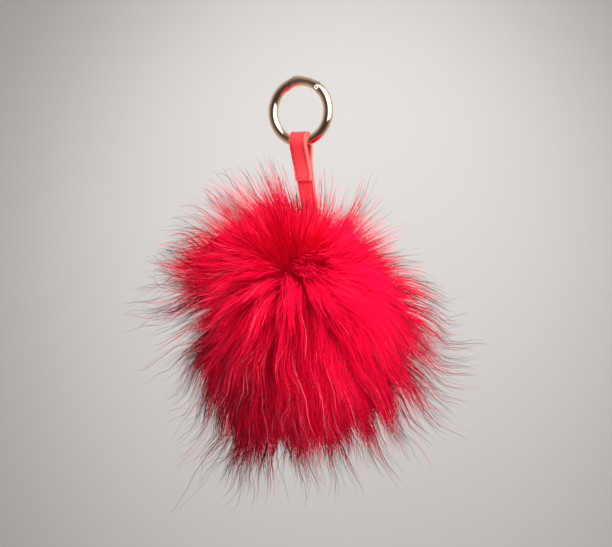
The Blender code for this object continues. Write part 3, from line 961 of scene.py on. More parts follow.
class CHARM_OT_fur(bpy.types.Operator):
    """Grow the fur: a dense lumpy form, soft down, gathered locks and long guard hairs"""

    bl_idname = "charm.fur"
    bl_label = "Fur"

    def execute(self, context):
        settings = context.scene.charm_fur
        pile = Pile(settings)
        material = hair_finish(settings)
        form = self.add_form(pile)
        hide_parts("fur_pom")
        for coat in COATS:
            for piece in range(coat.pieces):
                hairs = Hairs(pile, coat, round(coat.hairs * settings.thickness))
                kinds = self.dyed(hairs)
                label = f"{coat.name}_{piece + 1}" if coat.pieces > 1 else coat.name
                hair_object(label, hairs, kinds, material)
        return {"FINISHED"}

    def dyed(self, hairs):
        """Pick each hair's dye: darker in the valleys and where the fur is shaded, partly as painted
        shade, with pale streaks as painted highlights.
        """

        def drawn():
            return hairs.random.uniform(0.0, 1.0, hairs.count)

        picked = np.full(hairs.count, SCARLET)
        for dye, darker_than in DARKER_DYES:
            picked[hairs.tone > darker_than] = dye
        picked[hairs.tone < LIGHTER_THAN] = POPPY
        tufted = drawn() < by_region(hairs.tips, 0.0, TANGLED) * TUFTED_SHARE
        picked[tufted & (picked <= CRIMSON)] = TUFTED
        # Darker dyes where the fur is shaded: partly real dark hair, partly painted shade.
        shaded = by_region(hairs.tips, SHADED_SHARE, SHADED) * (1.0 + SHADED_BY_TONE * hairs.tone)
        draw = drawn()
        picked[draw < shaded] = CHERRY
        picked[draw < shaded * BURGUNDY_SHARE] = BURGUNDY
        if hairs.coat.name != "down":
            # Painted highlights: pale streaks, gathered by small lock.
            pale = by_region(hairs.tips, 0.0, PAINTED_HIGHLIGHTS) * STREAKS * hairs.streak**STREAK_CURVE
            picked[drawn() < pale] = ROSE_HIGHLIGHT
        dark = (hairs.outstanding > DARK_FROM) | (hairs.coat.name == "guard_hairs")
        dark &= drawn() < by_region(hairs.tips, DARK_TIPPED_SHARE, DARK_TIPPED)
        early = drawn() < by_region(hairs.tips, DIPPED_EARLY_SHARE, SHADED)
        picked[dark] = np.where(early, DIPPED_EARLY, DIPPED_LATE)[dark]
        return picked

    def add_form(self, pile):
        """The dense underfur that the hairs stand out of."""
        builder = bmesh.new()
        bmesh.ops.create_icosphere(builder, subdivisions=5, radius=1.0)
        rest = unit(np.array([vert.co for vert in builder.verts]))
        level = pile.dense(combed(rest, np.ones(len(rest)))) * FORM_SHARE
        moved = flowed(rest * level[:, None], pile.settings.ball_radius)
        for vert, place in zip(builder.verts, moved):
            vert.co = place
        mesh = bpy.data.meshes.new("fur_form")
        builder.to_mesh(mesh)
        builder.free()
        mesh.shade_smooth()
        finish = Finish("dense_down", Roughness=0.9, Specular_IOR_Level=0.0)
        noise = finish.noise(400.0)
        deep = [0.25 * part for part in pile.settings.bright]
        pale = [0.6 * part for part in pile.settings.bright]
        finish.feed(Base_Color=finish.mix(noise, deep, pale)).bump(noise, 0.0008)
        return fur_object("fur_form", mesh, finish.material)


# --- Building helpers ---------------------------------------------------------------------
# An uneven slope, so that no two points of a piece come at the same height on it.
ORDER_SLOPE = Vector((0.8311, 0.4193, 0.6127))

# Points closer than these are one, before edges are rounded and after a profile is spun.
WELD = 2e-5
FINE_WELD = 1e-6


def ordered(builder):
    """Sort a mesh's points, edges and faces by their places, so that each run makes the same."""
    builder.verts.sort(key=lambda vert: ORDER_SLOPE.dot(vert.co))
    for items in (builder.edges, builder.faces):
        items.sort(key=lambda item: sum(ORDER_SLOPE.dot(vert.co) for vert in item.verts))
    for items in (builder.verts, builder.edges, builder.faces):
        items.index_update()


def linked(name, builder):
    """An object for a finished bmesh."""
    ordered(builder)
    mesh = bpy.data.meshes.new(name)
    builder.to_mesh(mesh)
    builder.free()
    made = bpy.data.objects.new(name, mesh)
    bpy.context.scene.collection.objects.link(made)
    return made


def dressed(made, material, body, nodes, sharp_angle):
    """Shade a finished piece, and say what it rides on and stands for."""
    made.data.shade_smooth()
    made.data.set_sharp_from_angle(angle=math.radians(sharp_angle))
    made.data.materials.clear()
    made.data.materials.append(material)
    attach(made, body)
    if nodes:
        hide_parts(*nodes)
    return made


def loop_of(builder, points):
    """A closed loop of edges through points."""
    corners = [builder.verts.new(point) for point in points]
    return [builder.edges.new(pair) for pair in zip(corners, corners[1:] + corners[:1])]


def carved(target, *steps):
    """Run exact Booleans on an object in order, and remove the helpers."""
    for operation, helper in steps:
        modifier = target.modifiers.new(helper.name, "BOOLEAN")
        modifier.operation = operation
        modifier.solver = "EXACT"
        modifier.object = helper
    graph = bpy.context.evaluated_depsgraph_get()
    rough = target.data
    target.data = bpy.data.meshes.new_from_object(target.evaluated_get(graph))
    target.modifiers.clear()
    bpy.data.meshes.remove(rough)
    for operation, helper in steps:
        bpy.data.objects.remove(helper)
    return target


def eased(target, width, sharp_angle):
    """Round the sharp edges of an object a little."""
    builder = bmesh.new()
    builder.from_mesh(target.data)
    ordered(builder)
    bmesh.ops.remove_doubles(builder, verts=builder.verts[:], dist=WELD)
    bmesh.ops.dissolve_degenerate(builder, edges=builder.edges[:], dist=FINE_WELD)
    sharp = [
        edge for edge in builder.edges
        if edge.is_manifold and edge.calc_face_angle(0.0) > math.radians(sharp_angle)
    ]
    bmesh.ops.bevel(
        builder, geom=sharp, offset=width, affect="EDGES", segments=2, profile=0.5, material=-1,
        clamp_overlap=True,
    )
    builder.to_mesh(target.data)
    builder.free()
    return target


# --- Ring ---------------------------------------------------------------------------------
# How many degrees an edge is bent by before it is rounded, and before it is shaded as sharp.
ROUNDED_FROM = 30.0
METAL_SHARP_FROM = 35.0
RIVET_SHARP_FROM = 50.0
STRAP_SHARP_FROM = 60.0

# The rivet's rounded rim, and the dimple in each of its ends: its radius and the radius of its
# floor as shares of the rivet's and of the dimple's, its depth, and how deep its floor's edge is.
RIM = 0.00030
RIM_STEPS = 4
DIMPLE = 0.42
DIMPLE_FLOOR = 0.75
DIMPLE_DEPTH = 0.0011
DIMPLE_FLOOR_DEPTH = 0.85
# Where the dimple's painted shade gives way to the pale rim, as shares of the rivet's radius.
DIMPLE_SHADE = (0.36, 0.50)


def on_ring(angle, radius=RING_RADIUS):
    """The point at one angle round the ring, in its middle plane."""
    turn = math.radians(angle)
    return RING_CENTRE + Vector((radius * math.sin(turn), 0.0, radius * math.cos(turn)))


def spun_section(section, start, end, step):
    """Sweep a closed section of (radius, y) points round the ring, and cap both ends."""
    builder = bmesh.new()
    points = [on_ring(start, radius) + Vector((0.0, y, 0.0)) for radius, y in section]
    bmesh.ops.spin(
        builder, geom=loop_of(builder, points), cent=RING_CENTRE, axis=(0.0, 1.0, 0.0),
        angle=math.radians(end - start), steps=max(1, round(math.radians(end - start) / step)),
    )
    bmesh.ops.holes_fill(builder, edges=builder.edges[:], sides=0)
    bmesh.ops.recalc_face_normals(builder, faces=builder.faces[:])
    return builder


def wire(start, end, settings):
    """A stretch of the ring's round wire."""
    turns = [2.0 * math.pi * side / settings.wire_sides for side in range(settings.wire_sides)]
    section = [
        (RING_RADIUS + WIRE_RADIUS * math.cos(turn), WIRE_RADIUS * math.sin(turn)) for turn in turns
    ]
    return spun_section(section, start, end, settings.step)


def sector(name, radii, thickness, angles, settings):
    """A flat piece of a disc about the ring's centre, between two radii and two angles."""
    half = thickness / 2.0
    inner, outer = radii
    section = [(inner, -half), (outer, -half), (outer, half), (inner, half)]
    return linked(name, spun_section(section, *angles, settings.step))


def disc_about_rivet(name, radius, thickness, offset=0.0, sides=SLAB_SIDES):
    """A round slab on the rivet's axis, its middle moved along Y by the offset."""
    builder = bmesh.new()
    place = Matrix.Translation(on_ring(RIVET_ANGLE) + Vector((0.0, offset, 0.0)))
    bmesh.ops.create_cone(
        builder, cap_ends=True, segments=sides, radius1=radius, radius2=radius, depth=thickness,
        matrix=place @ Matrix.Rotation(math.radians(90.0), 4, "X"),
    )
    return linked(name, builder)


def gate_sweep():
    """The distance from the rivet to the gate's outer tip corner."""
    return (on_ring(GATE_OUTER_TIP_ANGLE, RING_RADIUS + WIRE_RADIUS) - on_ring(RIVET_ANGLE)).length


def gold_finish(settings):
    """Polished pale gold plating with faint brushing and wear."""
    finish = Finish("polished_gold", Metallic=1.0)
    cloudy = finish.noise(260.0, 4.0)
    fine = finish.noise(2600.0, 3.0)
    worn = cloudy.ramp(0.55, 0.75)
    pale = [min(1.0, part * 1.12 + 0.03) for part in settings.metal]
    finish.feed(Base_Color=finish.mix(worn * 0.5, settings.metal, pale))
    finish.feed(Roughness=0.07 + cloudy * 0.07 + worn * 0.06)
    return finish.bump(fine * 0.6 + cloudy * 0.4, 0.000006).material


def rivet_finish(settings):
    """Satin pale metal, its near-white rim partly a painted highlight, with painted shade in the dark
    dimple.
    """
    finish = Finish("satin_rivet", Metallic=0.35)
    grain = finish.noise(2600.0, 3.0)
    axis = on_ring(RIVET_ANGLE)
    flat = (1.0, 0.0, 1.0)
    aside = finish.vector("MULTIPLY_ADD", finish.where(), flat, (-axis.x, 0.0, -axis.z))
    far = finish.vector("LENGTH", aside, output=1)
    rim = far.ramp(*(RIVET_RADIUS * share for share in DIMPLE_SHADE))
    # The near-white rim is partly a painted highlight, the near-black dimple painted shade.
    pale = [min(1.0, part * 0.5 + 0.56) for part in settings.metal]
    deep = [0.06 * part for part in settings.metal]
    finish.feed(Base_Color=finish.mix(rim, deep, pale), Roughness=0.62 - rim * 0.14 + grain * 0.08)
    return finish.bump(grain, 0.000008).material


class CHARM_OT_ring(bpy.types.Operator):
    """Build the round ring's fixed part with its hinge tongue and latch slot"""

    bl_idname = "charm.ring"
    bl_label = "Ring"

    def execute(self, context):
        settings = context.scene.charm_ring
        arc_end = 360.0 + GATE_OUTER_TIP_ANGLE + BLANK_OVERRUN_ANGLE
        body = linked("ring_hoop", wire(RIVET_ANGLE, arc_end, settings))
        cheek = (2.0 * WIRE_RADIUS - TONGUE_THICKNESS) / 2.0 + SEAM
        offset = TONGUE_THICKNESS / 2.0 + cheek / 2.0
        shoulder = KNUCKLE_RADIUS + SEAM
        near_gate = sector(
            "gate_side", (INSIDE_WIRE, OUTSIDE_WIRE), THROUGH_WIRE, (GATE_TIP_ANGLE, 0.0), settings,
        )
        swept = gate_sweep() + TIP_SEAM
        sweep = disc_about_rivet("gate_sweep", swept, THROUGH_WIRE, sides=WIDE_SLAB_SIDES)
        carved(near_gate, ("INTERSECT", sweep))
        slot = sector(
            "latch_slot", (INSIDE_WIRE, LATCH_RADII[1] + SEAM),
            LATCH_THICKNESS + 2.0 * SEAM, LATCH_SLOT_ANGLES, settings,
        )
        carved(
            body,
            ("UNION", disc_about_rivet("tongue", TONGUE_RADIUS, 2.0 * TONGUE_THICKNESS)),
            ("DIFFERENCE", disc_about_rivet("front_relief", shoulder, cheek, -offset)),
            ("DIFFERENCE", disc_about_rivet("back_relief", shoulder, cheek, offset)),
            ("DIFFERENCE", disc_about_rivet("bore", RIVET_RADIUS + RIVET_PLAY, THROUGH_WIRE)),
            ("DIFFERENCE", near_gate),
            ("DIFFERENCE", slot),
        )
        eased(body, settings.edge, ROUNDED_FROM)
        material = gold_finish(settings)
        dressed(body, material, "charm", ["ring_body"], METAL_SHARP_FROM)
        return {"FINISHED"}


class CHARM_OT_gate(bpy.types.Operator):
    """Build the sprung gate, forked at the rivet and with a latch tab at its tip"""

    bl_idname = "charm.gate"
    bl_label = "Gate"

    def execute(self, context):
        settings = context.scene.charm_ring
        builder = wire(GATE_TIP_ANGLE, KNUCKLE_ANGLE, settings)
        for vert in builder.verts:
            outward = (vert.co - RING_CENTRE) * Vector((1.0, 0.0, 1.0))
            angle = math.degrees(math.atan2(outward.x, outward.z))
            outside = min(max((outward.length - RING_RADIUS) / WIRE_RADIUS, 0.0), 1.0)
            proud = GATE_PROUD * float(smooth(angle, *GATE_PROUD_ANGLES))
            sunk = GATE_SUNK * float(smooth(angle, *GATE_SUNK_ANGLES))
            sunk *= 1.0 - float(smooth(angle, *GATE_LEVEL_ANGLES))
            vert.co += outward.normalized() * (proud - sunk) * outside
        gate = linked("gate_arm", builder)
        beyond = sector(
            "past_rivet", (INSIDE_WIRE, OUTSIDE_WIRE), THROUGH_WIRE,
            (RIVET_ANGLE, KNUCKLE_ANGLE + BLANK_OVERRUN_ANGLE), settings,
        )
        knuckle = disc_about_rivet("knuckle", KNUCKLE_RADIUS, 2.0 * THROUGH_WIRE)
        carved(beyond, ("DIFFERENCE", knuckle))
        tab = sector("latch_tab", LATCH_RADII, LATCH_THICKNESS, LATCH_ANGLES, settings)
        reach = disc_about_rivet("reach", gate_sweep(), THROUGH_WIRE, sides=WIDE_SLAB_SIDES)
        fork = TONGUE_THICKNESS + 2.0 * SEAM
        carved(
            gate,
            ("DIFFERENCE", beyond),
            ("INTERSECT", reach),
            ("UNION", tab),
            ("DIFFERENCE", disc_about_rivet("fork", FORK_RADIUS, fork)),
            ("DIFFERENCE", disc_about_rivet("bore", RIVET_RADIUS + RIVET_PLAY, THROUGH_WIRE)),
        )
        eased(gate, settings.edge, ROUNDED_FROM)
        dressed(gate, gold_finish(settings), "gate", ["gate"], METAL_SHARP_FROM)
        return {"FINISHED"}


class CHARM_OT_rivet(bpy.types.Operator):
    """Build the rivet that the gate turns on, with a rounded rim and a dimple at each end"""

    bl_idname = "charm.rivet"
    bl_label = "Rivet"

    def execute(self, context):
        settings = context.scene.charm_ring
        half = RIVET_LENGTH / 2.0
        dimple = RIVET_RADIUS * DIMPLE
        floor = half - DIMPLE_DEPTH
        floor_edge = (dimple * DIMPLE_FLOOR, half - DIMPLE_DEPTH * DIMPLE_FLOOR_DEPTH)
        end = [(0.0, floor), floor_edge, (dimple, half)]
        for step in range(RIM_STEPS + 1):
            turn = math.radians(90.0 * step / RIM_STEPS)
            corner = RIVET_RADIUS - RIM
            end.append((corner + RIM * math.sin(turn), half - RIM + RIM * math.cos(turn)))
        profile = end + [(radius, -y) for radius, y in reversed(end)]
        builder = bmesh.new()
        points = [builder.verts.new((radius, y, 0.0)) for radius, y in profile]
        edges = [builder.edges.new(pair) for pair in zip(points, points[1:])]
        bmesh.ops.spin(
            builder, geom=edges, cent=(0.0, 0.0, 0.0), axis=(0.0, 1.0, 0.0),
            angle=2.0 * math.pi, steps=48, use_merge=True,
        )
        bmesh.ops.remove_doubles(builder, verts=builder.verts[:], dist=FINE_WELD)
        bmesh.ops.recalc_face_normals(builder, faces=builder.faces[:])
        bmesh.ops.translate(builder, verts=builder.verts[:], vec=on_ring(RIVET_ANGLE))
        rivet = linked("rivet_pin", builder)
        dressed(rivet, rivet_finish(settings), "charm", ["gate_rivet"], RIVET_SHARP_FROM)
        return {"FINISHED"}


# --- Strap --------------------------------------------------------------------------------
def strap_back_y(z):
    """The middle of the strap's long layer, front to back, at one height."""
    return (EYE_RADIUS + STRAP_THICKNESS / 2.0) * (1.0 - float(smooth(z, WIRE_Z, LEG_STRAIGHT_Z)))


def strap_front_inner_y(z):
    """The inner face of the strap's short leg, which closes on the long layer."""
    closed = strap_back_y(z) - STRAP_THICKNESS / 2.0
    even = min(max((WIRE_Z - z) / (WIRE_Z - LEGS_MEET_Z), 0.0), 1.0)
    share = 0.5 * even + 0.5 * float(smooth(z, WIRE_Z, LEGS_MEET_Z))
    return -EYE_RADIUS * (1.0 - share) + closed * share


def arc(radius, steps=28):
    """Points over the ring's wire from back to front, without the ends."""
    turns = [math.pi * step / steps for step in range(1, steps)]
    return [(radius * math.cos(turn), WIRE_Z + radius * math.sin(turn)) for turn in turns]


def heights(start, end, pitch=0.0008):
    """Evenly spaced heights from start to end, both included."""
    return [float(z) for z in np.linspace(start, end, max(2, round(abs(end - start) / pitch)))]


def strap_outline():
    """The strap seen from its edge: its outer outline, and the eye that the ring fills."""
    half = STRAP_THICKNESS / 2.0
    loop = heights(WIRE_Z, LEGS_MEET_Z)
    sewn = heights(LEGS_MEET_Z, SHORT_LEG_END_Z)[1:]
    below = heights(SHORT_LEG_END_Z, STRAP_END_Z, 0.0016)[1:]
    outer = [(strap_back_y(z) + half, z) for z in loop + sewn + below][::-1]
    outer += arc(EYE_RADIUS + STRAP_THICKNESS)
    outer += [(strap_front_inner_y(z) - STRAP_THICKNESS, z) for z in loop + sewn]
    outer += [(strap_back_y(z) - half, z) for z in [SHORT_LEG_END_Z] + below]
    eye = [(strap_back_y(z) - half, z) for z in loop][::-1] + arc(EYE_RADIUS)
    eye += [(strap_front_inner_y(z), z) for z in loop[:-1]]
    return outer, eye


def strap_place(point):
    """Carry a point of the straight strap to where it hangs and hugs the ring."""
    saddle = SADDLE_SHARE * point.x**2 / (2.0 * RING_RADIUS)
    rise = saddle * (1.0 - float(smooth(point.z, SADDLE_FROM_Z, SADDLE_TO_Z)))
    return Vector((point.x + between(STRAP_LEAN, point.z), point.y, point.z + rise))


GRAIN_MAP = "grain"
GRAIN_WOBBLE = 1.6
PAINT_FROM_EDGE = (0.0005, 0.0002)
GROOVE_WIDTH = 0.00045
GROOVE_DEPTH = 0.00024


def leather_finish(settings):
    """Cross-hatched pressed leather with painted edges, and painted highlight and shade on its grain.
    """
    finish = Finish("crosshatched_leather", Specular_IOR_Level=0.22)
    across, along = finish.mapped(GRAIN_MAP)
    uneven = finish.noise(900.0, 3.0)
    cloudy = finish.noise(160.0)
    turns = math.pi / settings.grain_pitch
    wobble = (uneven - 0.5) * GRAIN_WOBBLE
    first = ((across + along) * turns + wobble).of("SINE").of("ABSOLUTE")
    second = ((across - along) * turns + wobble).of("SINE").of("ABSOLUTE")
    grain = first.of("MINIMUM", second).ramp(0.10, 0.85)
    starts, ends = (settings.width / 2.0 - inset for inset in PAINT_FROM_EDGE)
    painted = across.of("ABSOLUTE").ramp(starts, ends)
    # The grain goes from a dark groove colour to a light ridge colour: painted shade and highlight on
    # the relief, with a cloudy tone of the leather's own.
    deep = [0.24 * part for part in settings.leather]
    light = [min(1.0, part * 1.06 + 0.040) for part in settings.leather]
    shade = finish.mix(grain * 0.8 + cloudy * 0.2, deep, light)
    finish.feed(Base_Color=finish.mix(painted, shade, tuple(settings.edge_paint)))
    finish.feed(Roughness=(0.52 - grain * 0.12 + uneven * 0.1) * (1.0 - painted) + painted * 0.3)
    height = grain * (1.0 - painted) + uneven * 0.25
    return finish.bump(height, 0.00010).material


def thread_finish(settings):
    """Waxed sewing thread with its twist; its deep red is partly painted shade from the grooves it
    sits in.
    """
    finish = Finish("waxed_thread", Roughness=0.5, Specular_IOR_Level=0.4)
    fibres = finish.noise(5200.0)
    dark = [0.7 * part for part in settings.thread]
    finish.feed(Base_Color=finish.mix(fibres, dark, tuple(settings.thread)))
    return finish.bump(fibres, 0.00004).material


class CHARM_OT_strap(bpy.types.Operator):
    """Build the leather strap, folded over the ring and sewn back onto itself"""

    bl_idname = "charm.strap"
    bl_label = "Strap"

    def execute(self, context):
        settings = context.scene.charm_strap
        half = settings.width / 2.0
        builder = bmesh.new()
        along = builder.verts.layers.float.new("along")
        outward = builder.verts.layers.float_vector.new("outward")
        for outline in strap_outline():
            self.add_outline(builder, outline, along, outward)
        bmesh.ops.triangle_fill(builder, use_beauty=True, edges=builder.edges[:])
        self.widen(builder, self.stations(half, settings.edge))
        bmesh.ops.recalc_face_normals(builder, faces=builder.faces[:])
        grain = builder.loops.layers.uv.new(GRAIN_MAP)
        for face in builder.faces:
            for loop in face.loops:
                loop[grain].uv = (loop.vert.co.x, loop.vert[along])
        for vert in builder.verts:
            vert.co -= Vector(vert[outward]) * self.hollow(abs(vert.co.x), half, settings)
        for vert in builder.verts:
            vert.co = strap_place(vert.co)
        strap = linked("strap_leather", builder)
        dressed(strap, leather_finish(settings), "charm", ["strap"], STRAP_SHARP_FROM)
        return {"FINISHED"}

    def add_outline(self, builder, outline, along, outward):
        """Add one closed outline, and note how far along it and which way out each point is."""
        points = [Vector((0.0, y, z)) for y, z in outline]
        edges = loop_of(builder, points)
        area = sum(a.y * b.z - b.y * a.z for a, b in zip(points, points[1:] + points[:1]))
        sign = 1.0 if area > 0.0 else -1.0
        run = 0.0
        for number, edge in enumerate(edges):
            vert = edge.verts[0]
            before, after = points[number - 1], points[(number + 1) % len(points)]
            line = (after - before).normalized()
            vert[along] = run
            vert[outward] = Vector((0.0, line.z, -line.y)) * sign
            run += (after - points[number]).length

    def stations(self, half, edge):
        """Places across the strap, closer together where its edges are round."""
        round_side = [half - edge + edge * math.sin(math.radians(15.0 * step)) for step in range(7)]
        flat = [float(x) for x in np.linspace(-half + edge, half - edge, 15)]
        return [-x for x in reversed(round_side)] + flat[1:-1] + round_side

    def widen(self, builder, stations):
        """Carry the filled outline across the strap's width, without inner walls."""
        bmesh.ops.translate(builder, verts=builder.verts[:], vec=(stations[0], 0.0, 0.0))
        layer = builder.faces[:]
        for number, (here, following) in enumerate(zip(stations, stations[1:])):
            grown = bmesh.ops.extrude_face_region(builder, geom=layer)
            if number:
                bmesh.ops.delete(builder, geom=layer, context="FACES")
            moved = [item for item in grown["geom"] if isinstance(item, bmesh.types.BMVert)]
            layer = [item for item in grown["geom"] if isinstance(item, bmesh.types.BMFace)]
            bmesh.ops.translate(builder, verts=moved, vec=(following - here, 0.0, 0.0))

    def hollow(self, aside, half, settings):
        """How far the strap's surface lies below flat: round edges, and a groove at each seam."""
        over = max(aside - (half - settings.edge), 0.0)
        rounded = settings.edge - math.sqrt(max(settings.edge**2 - over**2, 0.0))
        from_seam = (aside - (half - settings.seam_inset)) / GROOVE_WIDTH
        return rounded + GROOVE_DEPTH * math.exp(-(from_seam**2))


# Where the seams' stitches start and stop, and how far their ends lie to either side.
SEAM_START = 0.0012
SEAM_STOP = 0.0008
STITCH_SLANT = 0.00045

# The row across the short leg's end: how far above it, and its stitches.
ROW_ABOVE_END = 0.0016
ROW_STITCHES = 4
ROW_PITCH = 0.52
ROW_SLOPE = (0.0006, 0.0004)

# The thread, and how a stitch swells between its ends and sinks into the leather.
THREAD_RADIUS = 0.00030
THREAD_RINGS = 9
THREAD_SIDES = 8
THREAD_SUNK = 0.00034
THREAD_THINNEST = 0.55
SWELL_FROM = 0.02
SWELL_CURVE = 0.35

# Room for rounding when a height is looked for.
SLACK = 1e-7


class CHARM_OT_stitches(bpy.types.Operator):
    """Sew the strap's two seams and the row of stitches that closes its short leg"""

    bl_idname = "charm.stitches"
    bl_label = "Stitches"

    def execute(self, context):
        settings = context.scene.charm_strap
        seam = settings.width / 2.0 - settings.seam_inset
        outline = [Vector((0.0, y, z)) for y, z in strap_outline()[0]]
        corner = next(
            number for number, point in enumerate(outline)
            if number > len(outline) // 3 and point.z <= SHORT_LEG_END_Z + SLACK
            and point.y < STRAP_THICKNESS - EYE_RADIUS
        )
        builder = bmesh.new()
        for side in (-seam, seam):
            self.sew(builder, outline[:corner + 1], side, settings)
            self.sew(builder, outline[corner + 2:], side, settings)
        row_z = SHORT_LEG_END_Z + ROW_ABOVE_END
        row_y = strap_front_inner_y(row_z) - STRAP_THICKNESS
        run, rise = ROW_SLOPE
        for step in range(ROW_STITCHES):
            x = (step - (ROW_STITCHES - 1) / 2.0) * seam * ROW_PITCH
            start = Vector((x - run, row_y, row_z - rise))
            end = Vector((x + run, row_y, row_z + rise))
            self.add_stitch(builder, start, end, Vector((0.0, -1.0, 0.0)))
        stitches = linked("strap_stitches", builder)
        dressed(stitches, thread_finish(settings), "charm", [], STRAP_SHARP_FROM)
        return {"FINISHED"}

    def sew(self, builder, line, side, settings):
        """One seam of slanted stitches along an outline."""
        runs = np.concatenate(([0.0], np.cumsum([(b - a).length for a, b in zip(line, line[1:])])))
        slant = Vector((STITCH_SLANT, 0.0, 0.0))
        offset = Vector((side, 0.0, 0.0))
        place = SEAM_START
        while place + settings.stitch_length < runs[-1] - SEAM_STOP:
            ends = [self.read(line, runs, place + share) for share in (0.0, settings.stitch_length)]
            slope = (ends[1] - ends[0]).normalized()
            out = Vector((0.0, slope.z, -slope.y))
            self.add_stitch(builder, ends[0] + offset - slant, ends[1] + offset + slant, out)
            place += settings.stitch_pitch

    def read(self, line, runs, place):
        """The point at one distance along a polyline."""
        return Vector([float(np.interp(place, runs, values)) for values in zip(*line)])

    def add_stitch(self, builder, start, end, out):
        """A short thread that dives into the leather at both ends."""
        side = (end - start).cross(out).normalized()
        turns = [2.0 * math.pi * number / THREAD_SIDES for number in range(THREAD_SIDES)]
        rings = []
        for ring in range(THREAD_RINGS):
            share = ring / (THREAD_RINGS - 1)
            inside = min(max(share, SWELL_FROM), 1.0 - SWELL_FROM)
            swell = math.sin(math.pi * inside) ** SWELL_CURVE
            middle = start.lerp(end, share) + out * (THREAD_RADIUS * swell - THREAD_SUNK)
            spread = THREAD_RADIUS * (THREAD_THINNEST + (1.0 - THREAD_THINNEST) * swell)
            corners = [
                middle + (side * math.cos(turn) + out * math.sin(turn)) * spread for turn in turns
            ]
            rings.append([builder.verts.new(strap_place(corner)) for corner in corners])
        builder.faces.new(rings[0][::-1])
        for lower, upper in zip(rings, rings[1:]):
            for number in range(THREAD_SIDES):
                after = (number + 1) % THREAD_SIDES
                builder.faces.new((lower[number], lower[after], upper[after], upper[number]))
        builder.faces.new(rings[-1])


# --- Stage --------------------------------------------------------------------------------
PICTURE_WIDTH = 612
PICTURE_HEIGHT = 547
RING_TOP_PIXEL = 76.0
RING_MIDDLE_PIXEL = 300.5

FRONT = math.radians(FRONT_AZIMUTH)
RIGHT = Vector((math.cos(FRONT), math.sin(FRONT), 0.0))
TOWARD = Vector((math.sin(FRONT), -math.cos(FRONT), 0.0))

LIGHTS = (
    # name, (right, toward, up) of the charm, size, power, seen in gloss
    ("key_softbox", (0.72, 0.82, 0.54), (2.2, 2.1), 34.0, True),
    ("fill_front", (-0.30, 1.60, 0.30), (1.6, 1.6), 22.0, False),
    ("fill_top", (-0.05, 0.60, 1.20), (1.4, 1.4), 34.0, False),
    ("fill_back", (-0.40, -1.30, 0.60), (1.4, 1.4), 19.0, False),
)

# The soft light on the backdrop: its power, how wide it opens, and where it stands and points.
GLOW_POWER = 240.0
GLOW_ANGLE = 41.0
GLOW_SOFTNESS = 0.2
GLOW_STANDS = (0.0, -0.9, 1.3)
GLOW_POINTS = (0.07, -2.6, 0.0)

ROOM_COLOUR = (0.80, 0.77, 0.74)
ROOM_STRENGTH = 0.40

# The floor's height, and the backdrop's radius, rise and the sweep between them.
FLOOR_Z = -1.6
BACKDROP_RADIUS = 2.6
BACKDROP_TOP = 2.2
SWEEP = 0.9
SWEEP_STEPS = 12
BACKDROP_SIDES = 96
FLOOR_WELD = 1e-5
FLOOR_COLOUR = (0.379, 0.364, 0.357)

# The floor's own light, everywhere but behind the charm: its colour, and where it fades.
FLOOR_LIGHT = (0.27, 0.26, 0.255)
FLOOR_LIGHT_FADES = (0.80, 0.975)

# What polished metal mirrors, from the camera's side of the room to the lit backdrop.
MIRRORED_ROOM = (
    (0.00, (0.058, 0.040, 0.042)),
    (0.12, (0.078, 0.054, 0.052)),
    (0.22, (0.135, 0.098, 0.086)),
    (0.40, (0.410, 0.330, 0.270)),
    (0.70, (0.580, 0.500, 0.460)),
    (1.00, (0.850, 0.800, 0.750)),
)


